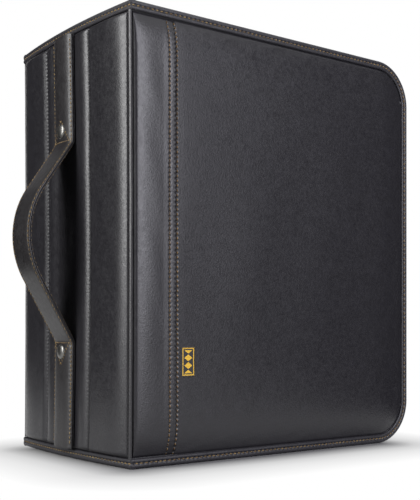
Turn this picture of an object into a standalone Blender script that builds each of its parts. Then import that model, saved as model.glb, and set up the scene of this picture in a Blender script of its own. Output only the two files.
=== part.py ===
# A zipped storage case for discs: two padded covers and a padded spine around sleeve pages.
# Metres, +Z up. It stands upright: the spine and its handle face -X, the front cover faces -Y.
# Sizes below are measured from the spine's plane (x), the front rim's face (y) and the floor (z).
import math

import bpy
import bmesh
from mathutils import Vector

# Overall size of the case without its handle
HEIGHT = 0.330
COVER_WIDTH = 0.288
DEPTH = 0.170
CORNER_RADIUS = 0.042  # the covers' round corners at the fore-edge
SEAT_GAP = 0.0003      # between pieces that touch

# Bound edges: a folded tape around the edges of the skins
RIM_WIDTH = 0.0073
RIM_TAPE = 0.0009
RIM_ROUNDING = 0.0011
RIM_REST = 0.0003      # from the tape's fold to the edges it holds

# Covers: padded skin, board and lining
COVER_SKIN = 0.0010
CROWN = 0.0032         # rise of the padding over the rim
CROWN_RUN = 0.050      # from the rim to its full height
BOARD = 0.0025
LINING = 0.0010
STRIP_WIDTH = 0.038    # hinge strip, from the spine's plane to its lapped seam
STRIP_LAP = 0.0007     # rise of the hinge strip over the panel at that seam
STRIP_RUN = 0.024      # from the gutter to the strip's full height

# Spine: three padded panels over a bowed board
SPINE_SKIN = 0.0024
SPINE_BOW = 0.005
SPINE_WAIST = 0.002    # how far the panels draw in at mid height
WELT_WIDTH = 0.0036
WELT_HEIGHT = 0.0030
SIDE_PANEL = 0.0475
SIDE_PAD = 0.0018
RIDGE = 0.0016         # padded ridges beside the centre panel's stitched edges
RIDGE_SET_BACK = 0.005
RIDGE_SPREAD = 0.0042
SPINE_PAD_RUN = 0.020

# Handle: a leather strap over a backing, riveted to the spine
STRAP_WIDTH = 0.028
STRAP_LEATHER = 0.0019
STRAP_BACKING = 0.0015
HANDLE_LOW = 0.089     # heights where the strap leaves the spine
HANDLE_HIGH = 0.244
HANDLE_APEX = 0.173
HANDLE_PEAK = 0.055    # where the straight flanks would meet, out from the spine's plane
HANDLE_BEND = 0.065
ANCHOR_BEND = 0.009
RIVET_FROM_BEND = 0.0068
RIVET_HEAD = 0.0048    # radius
RIVET_DOME = 0.0021
RIVET_SHANK = 0.0020   # radius
RIVET_CLEARANCE = 0.0003
BURR_RADIUS = 0.0050
BURR_THICKNESS = 0.0010

# Gusset walls and the zip between them
GUSSET_EDGE = 0.0009
GUSSET_WALL = 0.0015
GUSSET_START = 0.012
ZIP_WINDOW = 0.011     # from the gusset's edge to the middle of the zip
ZIP_TAPE = 0.0008
ZIP_TAPE_WIDTH = 0.0148
ZIP_TAPE_GAP = 0.0022  # from the tape's edge to the middle of the zip
ZIP_START = 0.014
COIL_WIDTH = 0.0027
COIL_HEIGHT = 0.0020
COIL_START = 0.0206
SLIDER_LENGTH = 0.014
SLIDER_WIDTH = 0.010
SLIDER_PLATE = 0.0013
SLIDER_CLEARANCE = 0.0004
SLIDER_NECK = 0.0040
NECK_WIDTH = 0.0036
BAIL_LENGTH = 0.0080
BAIL_WIDTH = 0.0018
BAIL_WIRE = 0.0011
BAIL_RISE = 0.0036
PULLER_LENGTH = 0.024
PULLER_WIDTH = 0.0075
PULLER_THICKNESS = 0.0012
PULLER_ARM = 0.0015
PIVOT_RISE = 0.0014    # puller's axis above the slider's upper plate

# Sleeve pages on their hinge strip
PAGE_COUNT = 42
PAGE_THICKNESS = 0.0014
PAGE_EDGE_CLEARANCE = 0.0025  # from the pages' corners to the zip tape
PAGE_CLEARANCE = 0.006  # between the first page and the lining
PAGE_ROOT = 0.0035
PAGE_STRIP = 0.0012
PAGE_STRIP_EDGE = 0.012
PAGE_CORNER = 0.008

# Woven tab on the front cover
TAB_LEFT = 0.0405
TAB_LOW = 0.0637
TAB_WIDTH = 0.0125
TAB_HEIGHT = 0.0223
TAB_THICKNESS = 0.0004

# Hinge lines of the covers, beside the spine's corners
HINGE_X = 0.003
HINGE_GUTTER = 0.0003  # between the spine's rim and the cover

# Resolution of curved faces
CORNER_STEPS = 8
BEND_STEPS = 12
ROUND_STEPS = 24

# Depths through a cover, from the rim's outer face inwards
SKIN_OUT = RIM_TAPE + SEAT_GAP
SKIN_IN = SKIN_OUT + COVER_SKIN
GUSSET_OUT = SKIN_IN + SEAT_GAP
GUSSET_IN = GUSSET_OUT + GUSSET_EDGE
RIM_DEPTH = GUSSET_IN + SEAT_GAP + RIM_TAPE
BOARD_IN = GUSSET_OUT + BOARD
LINING_OUT = BOARD_IN + SEAT_GAP
LINING_IN = LINING_OUT + LINING

# Insets from the case's outer edge, at the top, fore-edge and bottom
EDGE_INSET = RIM_TAPE + RIM_REST
PANEL_INSET = RIM_WIDTH + SEAT_GAP
WALL_INSET = RIM_WIDTH + SEAT_GAP
WALL_INNER = WALL_INSET + GUSSET_WALL
TAPE_INSET = WALL_INNER + SEAT_GAP
TAPE_INNER = TAPE_INSET + ZIP_TAPE
COIL_TOP = WALL_INNER - COIL_HEIGHT

# Depths through the spine, from its bowed outer line inwards
SPINE_SKIN_OUT = RIM_TAPE + SEAT_GAP
SPINE_SKIN_IN = SPINE_SKIN_OUT + SPINE_SKIN
SPINE_RIM_DEPTH = SPINE_SKIN_IN + SEAT_GAP + RIM_TAPE
SPINE_BOARD_OUT = SPINE_SKIN_IN + SEAT_GAP
SPINE_BOARD_IN = SPINE_BOARD_OUT + BOARD
SPINE_LINING_OUT = SPINE_BOARD_IN + SEAT_GAP
SPINE_LINING_IN = SPINE_LINING_OUT + LINING
PAGE_STRIP_OUT = SPINE_LINING_IN + SEAT_GAP
PAGE_STRIP_IN = PAGE_STRIP_OUT + PAGE_STRIP
PAGE_ROOT_OUT = PAGE_STRIP_IN + SEAT_GAP
PAGE_START = PAGE_ROOT_OUT + PAGE_ROOT

# The pages' margin keeps their corners inside the round corners of the case
DIAGONAL = math.sqrt(0.5)
PAGE_MARGIN = max(
    TAPE_INNER + PAGE_EDGE_CLEARANCE,
    CORNER_RADIUS - PAGE_CORNER * (1 - DIAGONAL)
    - (CORNER_RADIUS - TAPE_INNER - PAGE_EDGE_CLEARANCE) * DIAGONAL,
)

MID_DEPTH = DEPTH / 2
COVER_START = SPINE_RIM_DEPTH + HINGE_GUTTER
WELT_INNER = SEAT_GAP + WELT_WIDTH
SIDE_START = WELT_INNER + SEAT_GAP
SIDE_END = SIDE_START + SIDE_PANEL
CENTRE_START = SIDE_END + SEAT_GAP


def material(name, colour, roughness, metallic=0.0):
    made = bpy.data.materials.new(name)
    made.use_nodes = True
    shader = made.node_tree.nodes["Principled BSDF"]
    shader.inputs["Base Color"].default_value = (*colour, 1.0)
    shader.inputs["Roughness"].default_value = roughness
    shader.inputs["Metallic"].default_value = metallic
    return made


def finish(name, bm, parent, finish_material):
    """Turns a bmesh in case coordinates into an object whose origin is its parent's."""
    bmesh.ops.recalc_face_normals(bm, faces=bm.faces)
    bmesh.ops.translate(bm, vec=-parent["place"], verts=bm.verts)
    mesh = bpy.data.meshes.new(name)
    bm.to_mesh(mesh)
    bm.free()
    mesh.shade_smooth()
    mesh.set_sharp_from_angle(angle=math.radians(35))
    mesh.materials.append(finish_material)
    made = bpy.data.objects.new(name, mesh)
    made.parent = parent["empty"]
    bpy.context.collection.objects.link(made)
    return made


def add_loft(bm, rings):
    """Adds one closed body through rings of equal length, with flat ends."""
    rows = [[bm.verts.new(point) for point in ring] for ring in rings]
    for row, following in zip(rows, rows[1:]):
        for i in range(len(row)):
            j = (i + 1) % len(row)
            bm.faces.new((row[i], row[j], following[j], following[i]))
    bm.faces.new(rows[0])
    bm.faces.new(rows[-1])


def loft(name, rings, parent, finish_material):
    bm = bmesh.new()
    add_loft(bm, rings)
    return finish(name, bm, parent, finish_material)


def turned(name, profile, centre, parent, finish_material):
    """Turns a closed (radius, x) profile about a line along X through centre = (y, z)."""
    bm = bmesh.new()
    verts = [bm.verts.new((x, centre[0] + radius, centre[1])) for radius, x in profile]
    edges = [bm.edges.new((a, b)) for a, b in zip(verts, verts[1:])]
    if profile[0][0] > 0:
        edges.append(bm.edges.new((verts[-1], verts[0])))
    middle = Vector((0, *centre))
    bmesh.ops.spin(
        bm, geom=verts + edges, cent=middle, axis=(1, 0, 0),
        angle=2 * math.pi, steps=ROUND_STEPS,
    )
    bmesh.ops.remove_doubles(bm, verts=bm.verts, dist=1e-6)
    return finish(name, bm, parent, finish_material)


def cut_hole(target, name, radius, centre, low_x, high_x, parent):
    """Cuts a round hole along X; the cutter stays as a hidden guide."""
    profile = [(0, low_x), (radius, low_x), (radius, high_x), (0, high_x)]
    cutter = turned(name, profile, centre, parent, target.data.materials[0])
    cutter.hide_render = True
    cutter.display_type = "WIRE"
    cut = target.modifiers.new(name, "BOOLEAN")
    cut.operation = "DIFFERENCE"
    cut.object = cutter


def rounded_path(corners, radii, steps):
    """Points along straight runs through corners (a, b), each turned on its own radius."""
    points = [corners[0]]
    for before, corner, after, radius in zip(corners, corners[1:], corners[2:], radii):
        here = Vector(corner)
        back = (Vector(before) - here).normalized()
        ahead = (Vector(after) - here).normalized()
        half = back.angle(ahead) / 2
        centre = here + (back + ahead).normalized() * (radius / math.sin(half))
        first = here + back * (radius / math.tan(half)) - centre
        last = here + ahead * (radius / math.tan(half)) - centre
        sweep = math.pi - 2 * half
        for step in range(steps + 1):
            share = step / steps
            a = math.sin((1 - share) * sweep) / math.sin(sweep)
            b = math.sin(share * sweep) / math.sin(sweep)
            points.append(tuple(centre + first * a + last * b))
    points.append(corners[-1])
    return points


def rise(distance, run):
    """Padding that climbs steeply from its seam and levels out after run."""
    return 1 - (1 - min(max(distance / run, 0), 1)) ** 4


def bow(y):
    """How far the spine's outer line stands out at depth y."""
    return SPINE_BOW * (1 - (y / MID_DEPTH - 1) ** 2)


def waist(z):
    return SPINE_WAIST * (1 - (2 * z / HEIGHT - 1) ** 2)


def spaced(low, high, count):
    return [low + (high - low) * i / (count - 1) for i in range(count)]


def heights_between_rims():
    """Section heights: inside the bottom binding, up the padding, and the same at the top."""
    low = [EDGE_INSET, PANEL_INSET] + [
        PANEL_INSET + share * CROWN_RUN for share in (0.03, 0.1, 0.25, 0.5, 1, 1.6, 2.2)
    ]
    return low + [HEIGHT / 2] + [HEIGHT - z for z in reversed(low)]


def from_rim(z):
    """Distance above the bottom binding's edge or below the top one's, whichever is less."""
    return min(z, HEIGHT - z) - PANEL_INSET


# Outlines of the covers

def cover_ring(inset, y, start):
    """A cover's outline drawn in by inset at its three free edges, at depth y."""
    radius = max(CORNER_RADIUS - inset, SEAT_GAP)
    low = inset
    high = HEIGHT - inset
    right = COVER_WIDTH - inset
    corners = [(start, high), (right, high), (right, low), (start, low)]
    return [(x, y, z) for x, z in rounded_path(corners, [radius, radius], CORNER_STEPS)]


def sweep_edge(name, section, start, mirror, parent, finish_material):
    """Carries a closed (inset, y) section along the top, fore-edge and bottom."""
    sides = [cover_ring(inset, mirror(y), start) for inset, y in section]
    rings = [list(ring) for ring in zip(*sides)]
    return loft(name, rings, parent, finish_material)


# Spine

def spine_layer(name, out, inner, low_y, high_y, low_z, parent, finish_material):
    """A bowed sheet between two depths behind the spine's outer line."""
    depths = spaced(low_y, high_y, BEND_STEPS + 1)
    section = [(out - bow(y), y) for y in depths]
    section += [(inner - bow(y), y) for y in reversed(depths)]
    rings = [[(x, y, z) for x, y in section] for z in (low_z, HEIGHT - low_z)]
    return loft(name, rings, parent, finish_material)


def spine_panel(name, low_y, high_y, padding, parent, finish_material):
    """A padded panel: flat-backed on the board, tucked into the bindings at both ends."""
    depths = [low_y + (high_y - low_y) * (1 - math.cos(math.pi * i / 16)) / 2 for i in range(17)]
    rings = []
    for z in heights_between_rims():
        full = rise(from_rim(z), SPINE_PAD_RUN)
        face = [
            (SPINE_SKIN_OUT * (1 - full) + (waist(z) - padding(y)) * full - bow(y), y, z)
            for y in depths
        ]
        back = [(SPINE_SKIN_IN - bow(y), y, z) for y in reversed(depths)]
        rings.append(face + back)
    return loft(name, rings, parent, finish_material)


def side_padding(y):
    """Height of a side panel's padding; the back panel is the front one mirrored."""
    from_front = min(y, DEPTH - y)
    across = 2 * (from_front - SIDE_START) / SIDE_PANEL - 1
    return SIDE_PAD * (1 - across ** 4)


def centre_padding(y):
    """The centre panel's padding: a ridge beside each stitched edge, flat under the strap."""
    from_ridge = abs(y - MID_DEPTH) - (MID_DEPTH - CENTRE_START - RIDGE_SET_BACK)
    return RIDGE * math.exp(-((from_ridge / RIDGE_SPREAD) ** 2))


def spine_rim(name, flip, parent, finish_material):
    """The folded tape along the spine's top or bottom edge."""
    outline = folded_tape(SPINE_RIM_DEPTH)
    rings = [
        [(depth - bow(y), y, flip(inset)) for inset, depth in outline]
        for y in spaced(0, DEPTH, BEND_STEPS + 3)
    ]
    return loft(name, rings, parent, finish_material)


def folded_tape(depth):
    """Section of a binding as (inset from the edge, depth): a channel with a rounded fold."""
    bend = RIM_ROUNDING
    tip = [
        (bend * (1 - math.sin(angle)), bend * (1 - math.cos(angle)))
        for angle in (0, math.pi / 4, math.pi / 2)
    ]
    fold = tip + [(inset, depth - low) for inset, low in reversed(tip)]
    return [
        (RIM_WIDTH, RIM_TAPE), (RIM_WIDTH, 0), *fold, (RIM_WIDTH, depth),
        (RIM_WIDTH, depth - RIM_TAPE), (RIM_TAPE, depth - RIM_TAPE), (RIM_TAPE, RIM_TAPE),
    ]


def corner_welt(name, mirror, parent, finish_material):
    """The rolled seam between the spine and a cover, which follows the spine's waist."""
    half = WELT_WIDTH / 2
    rings = []
    for z in [PANEL_INSET] + [h for h in heights_between_rims()[2:-2]] + [HEIGHT - PANEL_INSET]:
        middle = SPINE_SKIN_OUT - WELT_HEIGHT / 4 + waist(z) * rise(from_rim(z), SPINE_PAD_RUN)
        rings.append([
            (
                middle - WELT_HEIGHT / 2 * math.cos(angle),
                mirror(SEAT_GAP + half + half * math.sin(angle)),
                z,
            )
            for angle in spaced(0, 2 * math.pi * (1 - 1 / 10), 10)
        ])
    return loft(name, rings, parent, finish_material)


# Handle

def strap_seat(z):
    """The line that the strap lies on, out from the spine's plane."""
    return bow(MID_DEPTH) - waist(z) + SEAT_GAP


def strap_line(low_z, high_z):
    """The strap's inner face: along the spine, out over the handle's arch and back."""
    low_run = [(z, strap_seat(z)) for z in spaced(low_z, HANDLE_LOW - ANCHOR_BEND, 5)]
    high_run = [(z, strap_seat(z)) for z in spaced(HANDLE_HIGH + ANCHOR_BEND, high_z, 5)]
    corners = [
        low_run[-1], (HANDLE_LOW, strap_seat(HANDLE_LOW)), (HANDLE_APEX, HANDLE_PEAK - outer_face()),
        (HANDLE_HIGH, strap_seat(HANDLE_HIGH)), high_run[0],
    ]
    bends = [ANCHOR_BEND, HANDLE_BEND - outer_face(), ANCHOR_BEND]
    return low_run[:-1] + rounded_path(corners, bends, BEND_STEPS) + high_run[1:]


def strap_rings(inner, outer, low_z, high_z):
    """Rings across the strap between two distances from its seat, from low_z up to high_z."""
    line = strap_line(low_z, high_z)
    low_y = MID_DEPTH - STRAP_WIDTH / 2
    high_y = MID_DEPTH + STRAP_WIDTH / 2
    rings = []
    for i, (z, out) in enumerate(line):
        before = Vector(line[max(i - 1, 0)])
        after = Vector(line[min(i + 1, len(line) - 1)])
        along = (after - before).normalized()
        across = Vector((-along.y, along.x))
        near = Vector((z, out)) + across * inner
        far = Vector((z, out)) + across * outer
        rings.append([
            (-near.y, low_y, near.x), (-far.y, low_y, far.x),
            (-far.y, high_y, far.x), (-near.y, high_y, near.x),
        ])
    return rings


def outer_face():
    """The strap's outer face above its seat, leather and backing together."""
    return STRAP_BACKING + SEAT_GAP + STRAP_LEATHER


def build_handle(spine, leather, metal):
    low_z = PANEL_INSET + SEAT_GAP
    leather_start = STRAP_BACKING + SEAT_GAP
    strap = loft(
        "handle_strap", strap_rings(leather_start, outer_face(), low_z, HEIGHT - low_z), spine, leather
    )
    backing = loft(
        "handle_backing", strap_rings(0, STRAP_BACKING, low_z, HEIGHT - low_z), spine, leather
    )
    rivets = {
        "upper": HANDLE_HIGH + RIVET_FROM_BEND,
        "lower": HANDLE_LOW - RIVET_FROM_BEND,
    }
    return strap, backing, rivets


def build_rivet(place, z, spine, metal, pierced):
    """A domed rivet through the strap, panel, board and lining, with its burr inside."""
    seat = -(strap_seat(z) + outer_face() + RIVET_CLEARANCE)
    lining_face = SPINE_LINING_IN - bow(MID_DEPTH)
    burr_start = lining_face + SEAT_GAP
    burr_end = burr_start + BURR_THICKNESS
    steps = 6
    dome = [
        (RIVET_HEAD * math.sin(angle), seat - RIVET_DOME * math.cos(angle))
        for angle in spaced(0, math.pi / 2, steps)
    ]
    shank = [(RIVET_SHANK, seat), (RIVET_SHANK, burr_end), (0, burr_end)]
    centre = (MID_DEPTH, z)
    turned("handle_rivet_" + place, dome + shank, centre, spine, metal)
    hole = RIVET_SHANK + RIVET_CLEARANCE
    burr = [
        (hole, burr_start), (BURR_RADIUS, burr_start), (BURR_RADIUS, burr_end), (hole, burr_end),
    ]
    turned("rivet_burr_" + place, burr, centre, spine, metal)
    for target in pierced:
        name = f"{target.name}_{place}_hole"
        cut_hole(target, name, hole, centre, seat - RIVET_DOME, burr_end, spine)
    return centre, burr_end


def build_spine(spine, finishes):
    skin = finishes["leatherette"]

    def front(y):
        return y

    def back(y):
        return DEPTH - y

    spine_panel("spine_side_panel_front", SIDE_START, SIDE_END, side_padding, spine, skin)
    spine_panel(
        "spine_side_panel_back", DEPTH - SIDE_END, DEPTH - SIDE_START, side_padding, spine, skin
    )
    centre_panel = spine_panel(
        "spine_centre_panel", CENTRE_START, DEPTH - CENTRE_START, centre_padding, spine, skin
    )
    corner_welt("front_corner_welt", front, spine, skin)
    corner_welt("back_corner_welt", back, spine, skin)
    spine_rim("spine_rim_bottom", lambda inset: inset, spine, skin)
    spine_rim("spine_rim_top", lambda inset: HEIGHT - inset, spine, skin)
    board = spine_layer(
        "spine_board", SPINE_BOARD_OUT, SPINE_BOARD_IN, SIDE_START, DEPTH - SIDE_START,
        PANEL_INSET, spine, finishes["board"],
    )
    lining = spine_layer(
        "spine_lining", SPINE_LINING_OUT, SPINE_LINING_IN, LINING_IN + SEAT_GAP,
        DEPTH - LINING_IN - SEAT_GAP, PANEL_INSET, spine, finishes["lining"],
    )
    strip = spine_layer(
        "page_hinge_strip", PAGE_STRIP_OUT, PAGE_STRIP_IN, PAGE_STRIP_EDGE,
        DEPTH - PAGE_STRIP_EDGE, PAGE_MARGIN, spine, finishes["lining"],
    )
    strap, backing, rivets = build_handle(spine, finishes["handle_leather"], finishes["rivet"])
    pierced = [strap, backing, centre_panel, board, lining]
    for place, z in rivets.items():
        centre, burr_end = build_rivet(place, z, spine, finishes["rivet"], pierced)
        cut_hole(
            strip, f"page_hinge_strip_{place}_hole", BURR_RADIUS + SEAT_GAP, centre,
            PAGE_STRIP_OUT - bow(MID_DEPTH) - SEAT_GAP, PAGE_STRIP_IN + SEAT_GAP, spine,
        )


def build_pages(spine, finish_material):
    """All the sleeve pages as one solid: leaves on a root that follows the spine's bow."""
    first = LINING_IN + PAGE_CLEARANCE
    last = DEPTH - first
    pitch = (last - first - PAGE_THICKNESS) / (PAGE_COUNT - 1)
    far = COVER_WIDTH - PAGE_MARGIN
    outline = [(PAGE_ROOT_OUT - bow(y), y) for y in spaced(first, last, BEND_STEPS + 1)]
    for i in reversed(range(PAGE_COUNT)):
        y = first + pitch * i
        outline += [(far, y + PAGE_THICKNESS), (far, y)]
        if i > 0:
            outline += [(PAGE_START, y), (PAGE_START, y - pitch + PAGE_THICKNESS)]
    rings = [[(x, y, z) for x, y in outline] for z in (PAGE_MARGIN, HEIGHT - PAGE_MARGIN)]
    pages = loft("sleeve_pages", rings, spine, finish_material)
    corners = [
        (-SPINE_BOW, HEIGHT - PAGE_MARGIN), (far, HEIGHT - PAGE_MARGIN),
        (far, PAGE_MARGIN), (-SPINE_BOW, PAGE_MARGIN),
    ]
    shape = rounded_path(corners, [PAGE_CORNER, PAGE_CORNER], CORNER_STEPS // 2)
    rings = [[(x, y, z) for x, z in shape] for y in (0, DEPTH)]
    guide = loft("page_outline_guide", rings, spine, finish_material)
    guide.hide_render = True
    guide.display_type = "WIRE"
    trim = pages.modifiers.new("rounded corners", "BOOLEAN")
    trim.operation = "INTERSECT"
    trim.object = guide


# Covers

def hinge_strip(name, mirror, parent, finish_material):
    """The padded strip beside the hinge, whose lapped edge stands over the main panel."""
    shares = (0, 0.05, 0.12, 0.22, 0.35, 0.55, 0.78, 1)
    widths = [COVER_START + share * (STRIP_WIDTH - COVER_START) for share in shares]
    height = SKIN_OUT + CROWN + STRIP_LAP
    rings = []
    for z in heights_between_rims():
        full = rise(from_rim(z), CROWN_RUN)
        face = [
            (x, mirror(SKIN_OUT - height * full * rise(x - COVER_START, STRIP_RUN)), z)
            for x in widths
        ]
        back = [(x, mirror(SKIN_IN), z) for x in reversed(widths)]
        rings.append(face + back)
    return loft(name, rings, parent, finish_material)


def cover_panel(name, mirror, parent, finish_material):
    """The main panel: a flat back, a thin edge under the binding and a padded crown."""
    start = STRIP_WIDTH + SEAT_GAP
    rings = [cover_ring(EDGE_INSET, mirror(SKIN_IN), start)]
    for share in (None, 0, 0.03, 0.1, 0.25, 0.5, 1):
        if share is None:
            inset, full = EDGE_INSET, 0
        else:
            inset = PANEL_INSET + share * CROWN_RUN
            full = rise(inset - PANEL_INSET, CROWN_RUN)
        rings.append(cover_ring(inset, mirror(SKIN_OUT - (SKIN_OUT + CROWN) * full), start))
    return loft(name, rings, parent, finish_material)


def flat_layer(name, out, inner, mirror, parent, finish_material):
    """A board or lining inside the gusset wall."""
    start = PAGE_START
    rings = [cover_ring(TAPE_INSET, mirror(y), start) for y in (out, inner)]
    return loft(name, rings, parent, finish_material)


def build_cover(side, mirror, parent, finishes):
    skin = finishes["leatherette"]
    hinge_strip(side + "_hinge_strip", mirror, parent, skin)
    cover_panel(side + "_cover_panel", mirror, parent, skin)
    flat_layer(side + "_board", GUSSET_OUT, BOARD_IN, mirror, parent, finishes["board"])
    flat_layer(side + "_lining", LINING_OUT, LINING_IN, mirror, parent, finishes["lining"])
    sweep_edge(side + "_binding", folded_tape(RIM_DEPTH), COVER_START, mirror, parent, skin)
    wall_end = MID_DEPTH - ZIP_WINDOW
    gusset = [
        (EDGE_INSET, GUSSET_OUT), (EDGE_INSET, GUSSET_IN), (WALL_INSET, GUSSET_IN),
        (WALL_INSET, wall_end), (WALL_INNER, wall_end), (WALL_INNER, GUSSET_OUT),
    ]
    sweep_edge(side + "_gusset", gusset, GUSSET_START, mirror, parent, skin)
    tape_end = MID_DEPTH - ZIP_TAPE_GAP
    tape = [
        (TAPE_INSET, tape_end - ZIP_TAPE_WIDTH), (TAPE_INSET, tape_end),
        (TAPE_INNER, tape_end), (TAPE_INNER, tape_end - ZIP_TAPE_WIDTH),
    ]
    sweep_edge(side + "_zip_tape", tape, ZIP_START, mirror, parent, finishes["zip_tape"])
    coil_end = MID_DEPTH - SEAT_GAP / 2
    crest = COIL_WIDTH / 4
    coil = [
        (WALL_INNER, coil_end - COIL_WIDTH), (COIL_TOP + crest, coil_end - COIL_WIDTH),
        (COIL_TOP, coil_end - COIL_WIDTH + crest), (COIL_TOP, coil_end - crest),
        (COIL_TOP + crest, coil_end), (WALL_INNER, coil_end),
    ]
    sweep_edge(side + "_zip_coil", coil, COIL_START, mirror, parent, finishes["zip_coil"])


def build_tab(parent, finish_material):
    """The woven tab, sewn flat on the panel where its crown is level."""
    outer = -(CROWN + SEAT_GAP + TAB_THICKNESS)
    corners = [
        (TAB_LEFT, TAB_LOW), (TAB_LEFT + TAB_WIDTH, TAB_LOW),
        (TAB_LEFT + TAB_WIDTH, TAB_LOW + TAB_HEIGHT), (TAB_LEFT, TAB_LOW + TAB_HEIGHT),
    ]
    rings = [[(x, y, z) for x, z in corners] for y in (outer, outer + TAB_THICKNESS)]
    loft("label_tab", rings, parent, finish_material)


# Zip slider and puller

def add_block(bm, low, high):
    ring = [(low[0], low[1]), (high[0], low[1]), (high[0], high[1]), (low[0], high[1])]
    add_loft(bm, [[(x, y, z) for x, y in ring] for z in (low[2], high[2])])


def slider_levels():
    """Heights of the slider's plates: under the tapes, over the coils."""
    lower_top = HEIGHT - TAPE_INNER - SLIDER_CLEARANCE
    upper_low = HEIGHT - COIL_TOP + SLIDER_CLEARANCE
    return lower_top - SLIDER_PLATE, lower_top, upper_low, upper_low + SLIDER_PLATE


def build_slider(parent, metal):
    """Two plates joined by the neck that parts the coils, with a bail on the upper one."""
    bottom, lower_top, upper_low, top = slider_levels()
    nose = COIL_START - SLIDER_CLEARANCE - SLIDER_NECK
    tail = nose + SLIDER_LENGTH
    half = SLIDER_WIDTH / 2

    def plate(low, high):
        """A plate that narrows from the nose to the tail."""
        corners = [
            (nose, MID_DEPTH - half), (tail, MID_DEPTH - half * 0.8),
            (tail, MID_DEPTH + half * 0.8), (nose, MID_DEPTH + half),
        ]
        return [[(x, y, z) for x, y in corners] for z in (low, high)]

    body = bmesh.new()
    add_loft(body, plate(bottom, lower_top))
    slider = finish("zip_slider", body, parent, metal)
    upper = bmesh.new()
    add_loft(upper, plate(upper_low, top))
    neck = bmesh.new()
    sunk = SLIDER_PLATE / 2
    add_block(
        neck, (nose, MID_DEPTH - NECK_WIDTH / 2, lower_top - sunk),
        (nose + SLIDER_NECK, MID_DEPTH + NECK_WIDTH / 2, upper_low + sunk),
    )
    bail_start = (nose + tail - BAIL_LENGTH) / 2
    crown = rounded_path(
        [
            (bail_start, top - sunk), (bail_start, top + BAIL_RISE),
            (bail_start + BAIL_LENGTH, top + BAIL_RISE), (bail_start + BAIL_LENGTH, top - sunk),
        ],
        [BAIL_WIRE * 1.6] * 2, 4,
    )
    hollow = rounded_path(
        [
            (bail_start + BAIL_WIRE, top - sunk), (bail_start + BAIL_WIRE, top + BAIL_RISE - BAIL_WIRE),
            (bail_start + BAIL_LENGTH - BAIL_WIRE, top + BAIL_RISE - BAIL_WIRE),
            (bail_start + BAIL_LENGTH - BAIL_WIRE, top - sunk),
        ],
        [BAIL_WIRE * 0.6] * 2, 4,
    )
    arch = crown + hollow[::-1]
    bail = bmesh.new()
    add_loft(bail, [[(x, y, z) for x, z in arch] for y in (
        MID_DEPTH - BAIL_WIDTH / 2, MID_DEPTH + BAIL_WIDTH / 2,
    )])
    for name, piece in (("upper_plate", upper), ("neck", neck), ("bail", bail)):
        guide = finish("slider_" + name + "_guide", piece, parent, metal)
        guide.hide_render = True
        guide.display_type = "WIRE"
        union = slider.modifiers.new(name, "BOOLEAN")
        union.operation = "UNION"
        union.object = guide


def build_puller(parent, metal):
    """A flat frame whose cross bar lies under the bail, lying along the closed zip."""
    x = parent["place"].x
    z = parent["place"].z
    low = z - PULLER_THICKNESS / 2
    half = PULLER_WIDTH / 2
    bar = PULLER_THICKNESS / 2
    window_end = PULLER_LENGTH / 2
    outer = rounded_path(
        [
            (x, MID_DEPTH - half), (x + PULLER_LENGTH - bar, MID_DEPTH - half),
            (x + PULLER_LENGTH - bar, MID_DEPTH + half), (x, MID_DEPTH + half),
        ],
        [half * 0.7] * 2, 5,
    )
    heel = [(x - bar, MID_DEPTH + half - bar), (x - bar, MID_DEPTH - half + bar)]
    bm = bmesh.new()
    add_loft(bm, [[(px, py, pz) for px, py in outer + heel] for pz in (low, low + PULLER_THICKNESS)])
    puller = finish("zip_puller", bm, parent, metal)
    window = bmesh.new()
    inner = half - PULLER_ARM
    add_block(
        window, (x + bar, MID_DEPTH - inner, low - bar),
        (x + window_end, MID_DEPTH + inner, low + PULLER_THICKNESS + bar),
    )
    cutter = finish("puller_window_guide", window, parent, metal)
    cutter.hide_render = True
    cutter.display_type = "WIRE"
    cut = puller.modifiers.new("window", "BOOLEAN")
    cut.operation = "DIFFERENCE"
    cut.object = cutter


def pivot(name, place, parent=None):
    """An empty at a place in case coordinates, which its pieces have as their origin."""
    empty = bpy.data.objects.new(name, None)
    bpy.context.collection.objects.link(empty)
    made = {"empty": empty, "place": Vector(place)}
    if parent:
        empty.parent = parent["empty"]
        empty.location = made["place"] - parent["place"]
    return made


def clear_scene():
    for old in list(bpy.data.objects):
        bpy.data.objects.remove(old, do_unlink=True)


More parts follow.
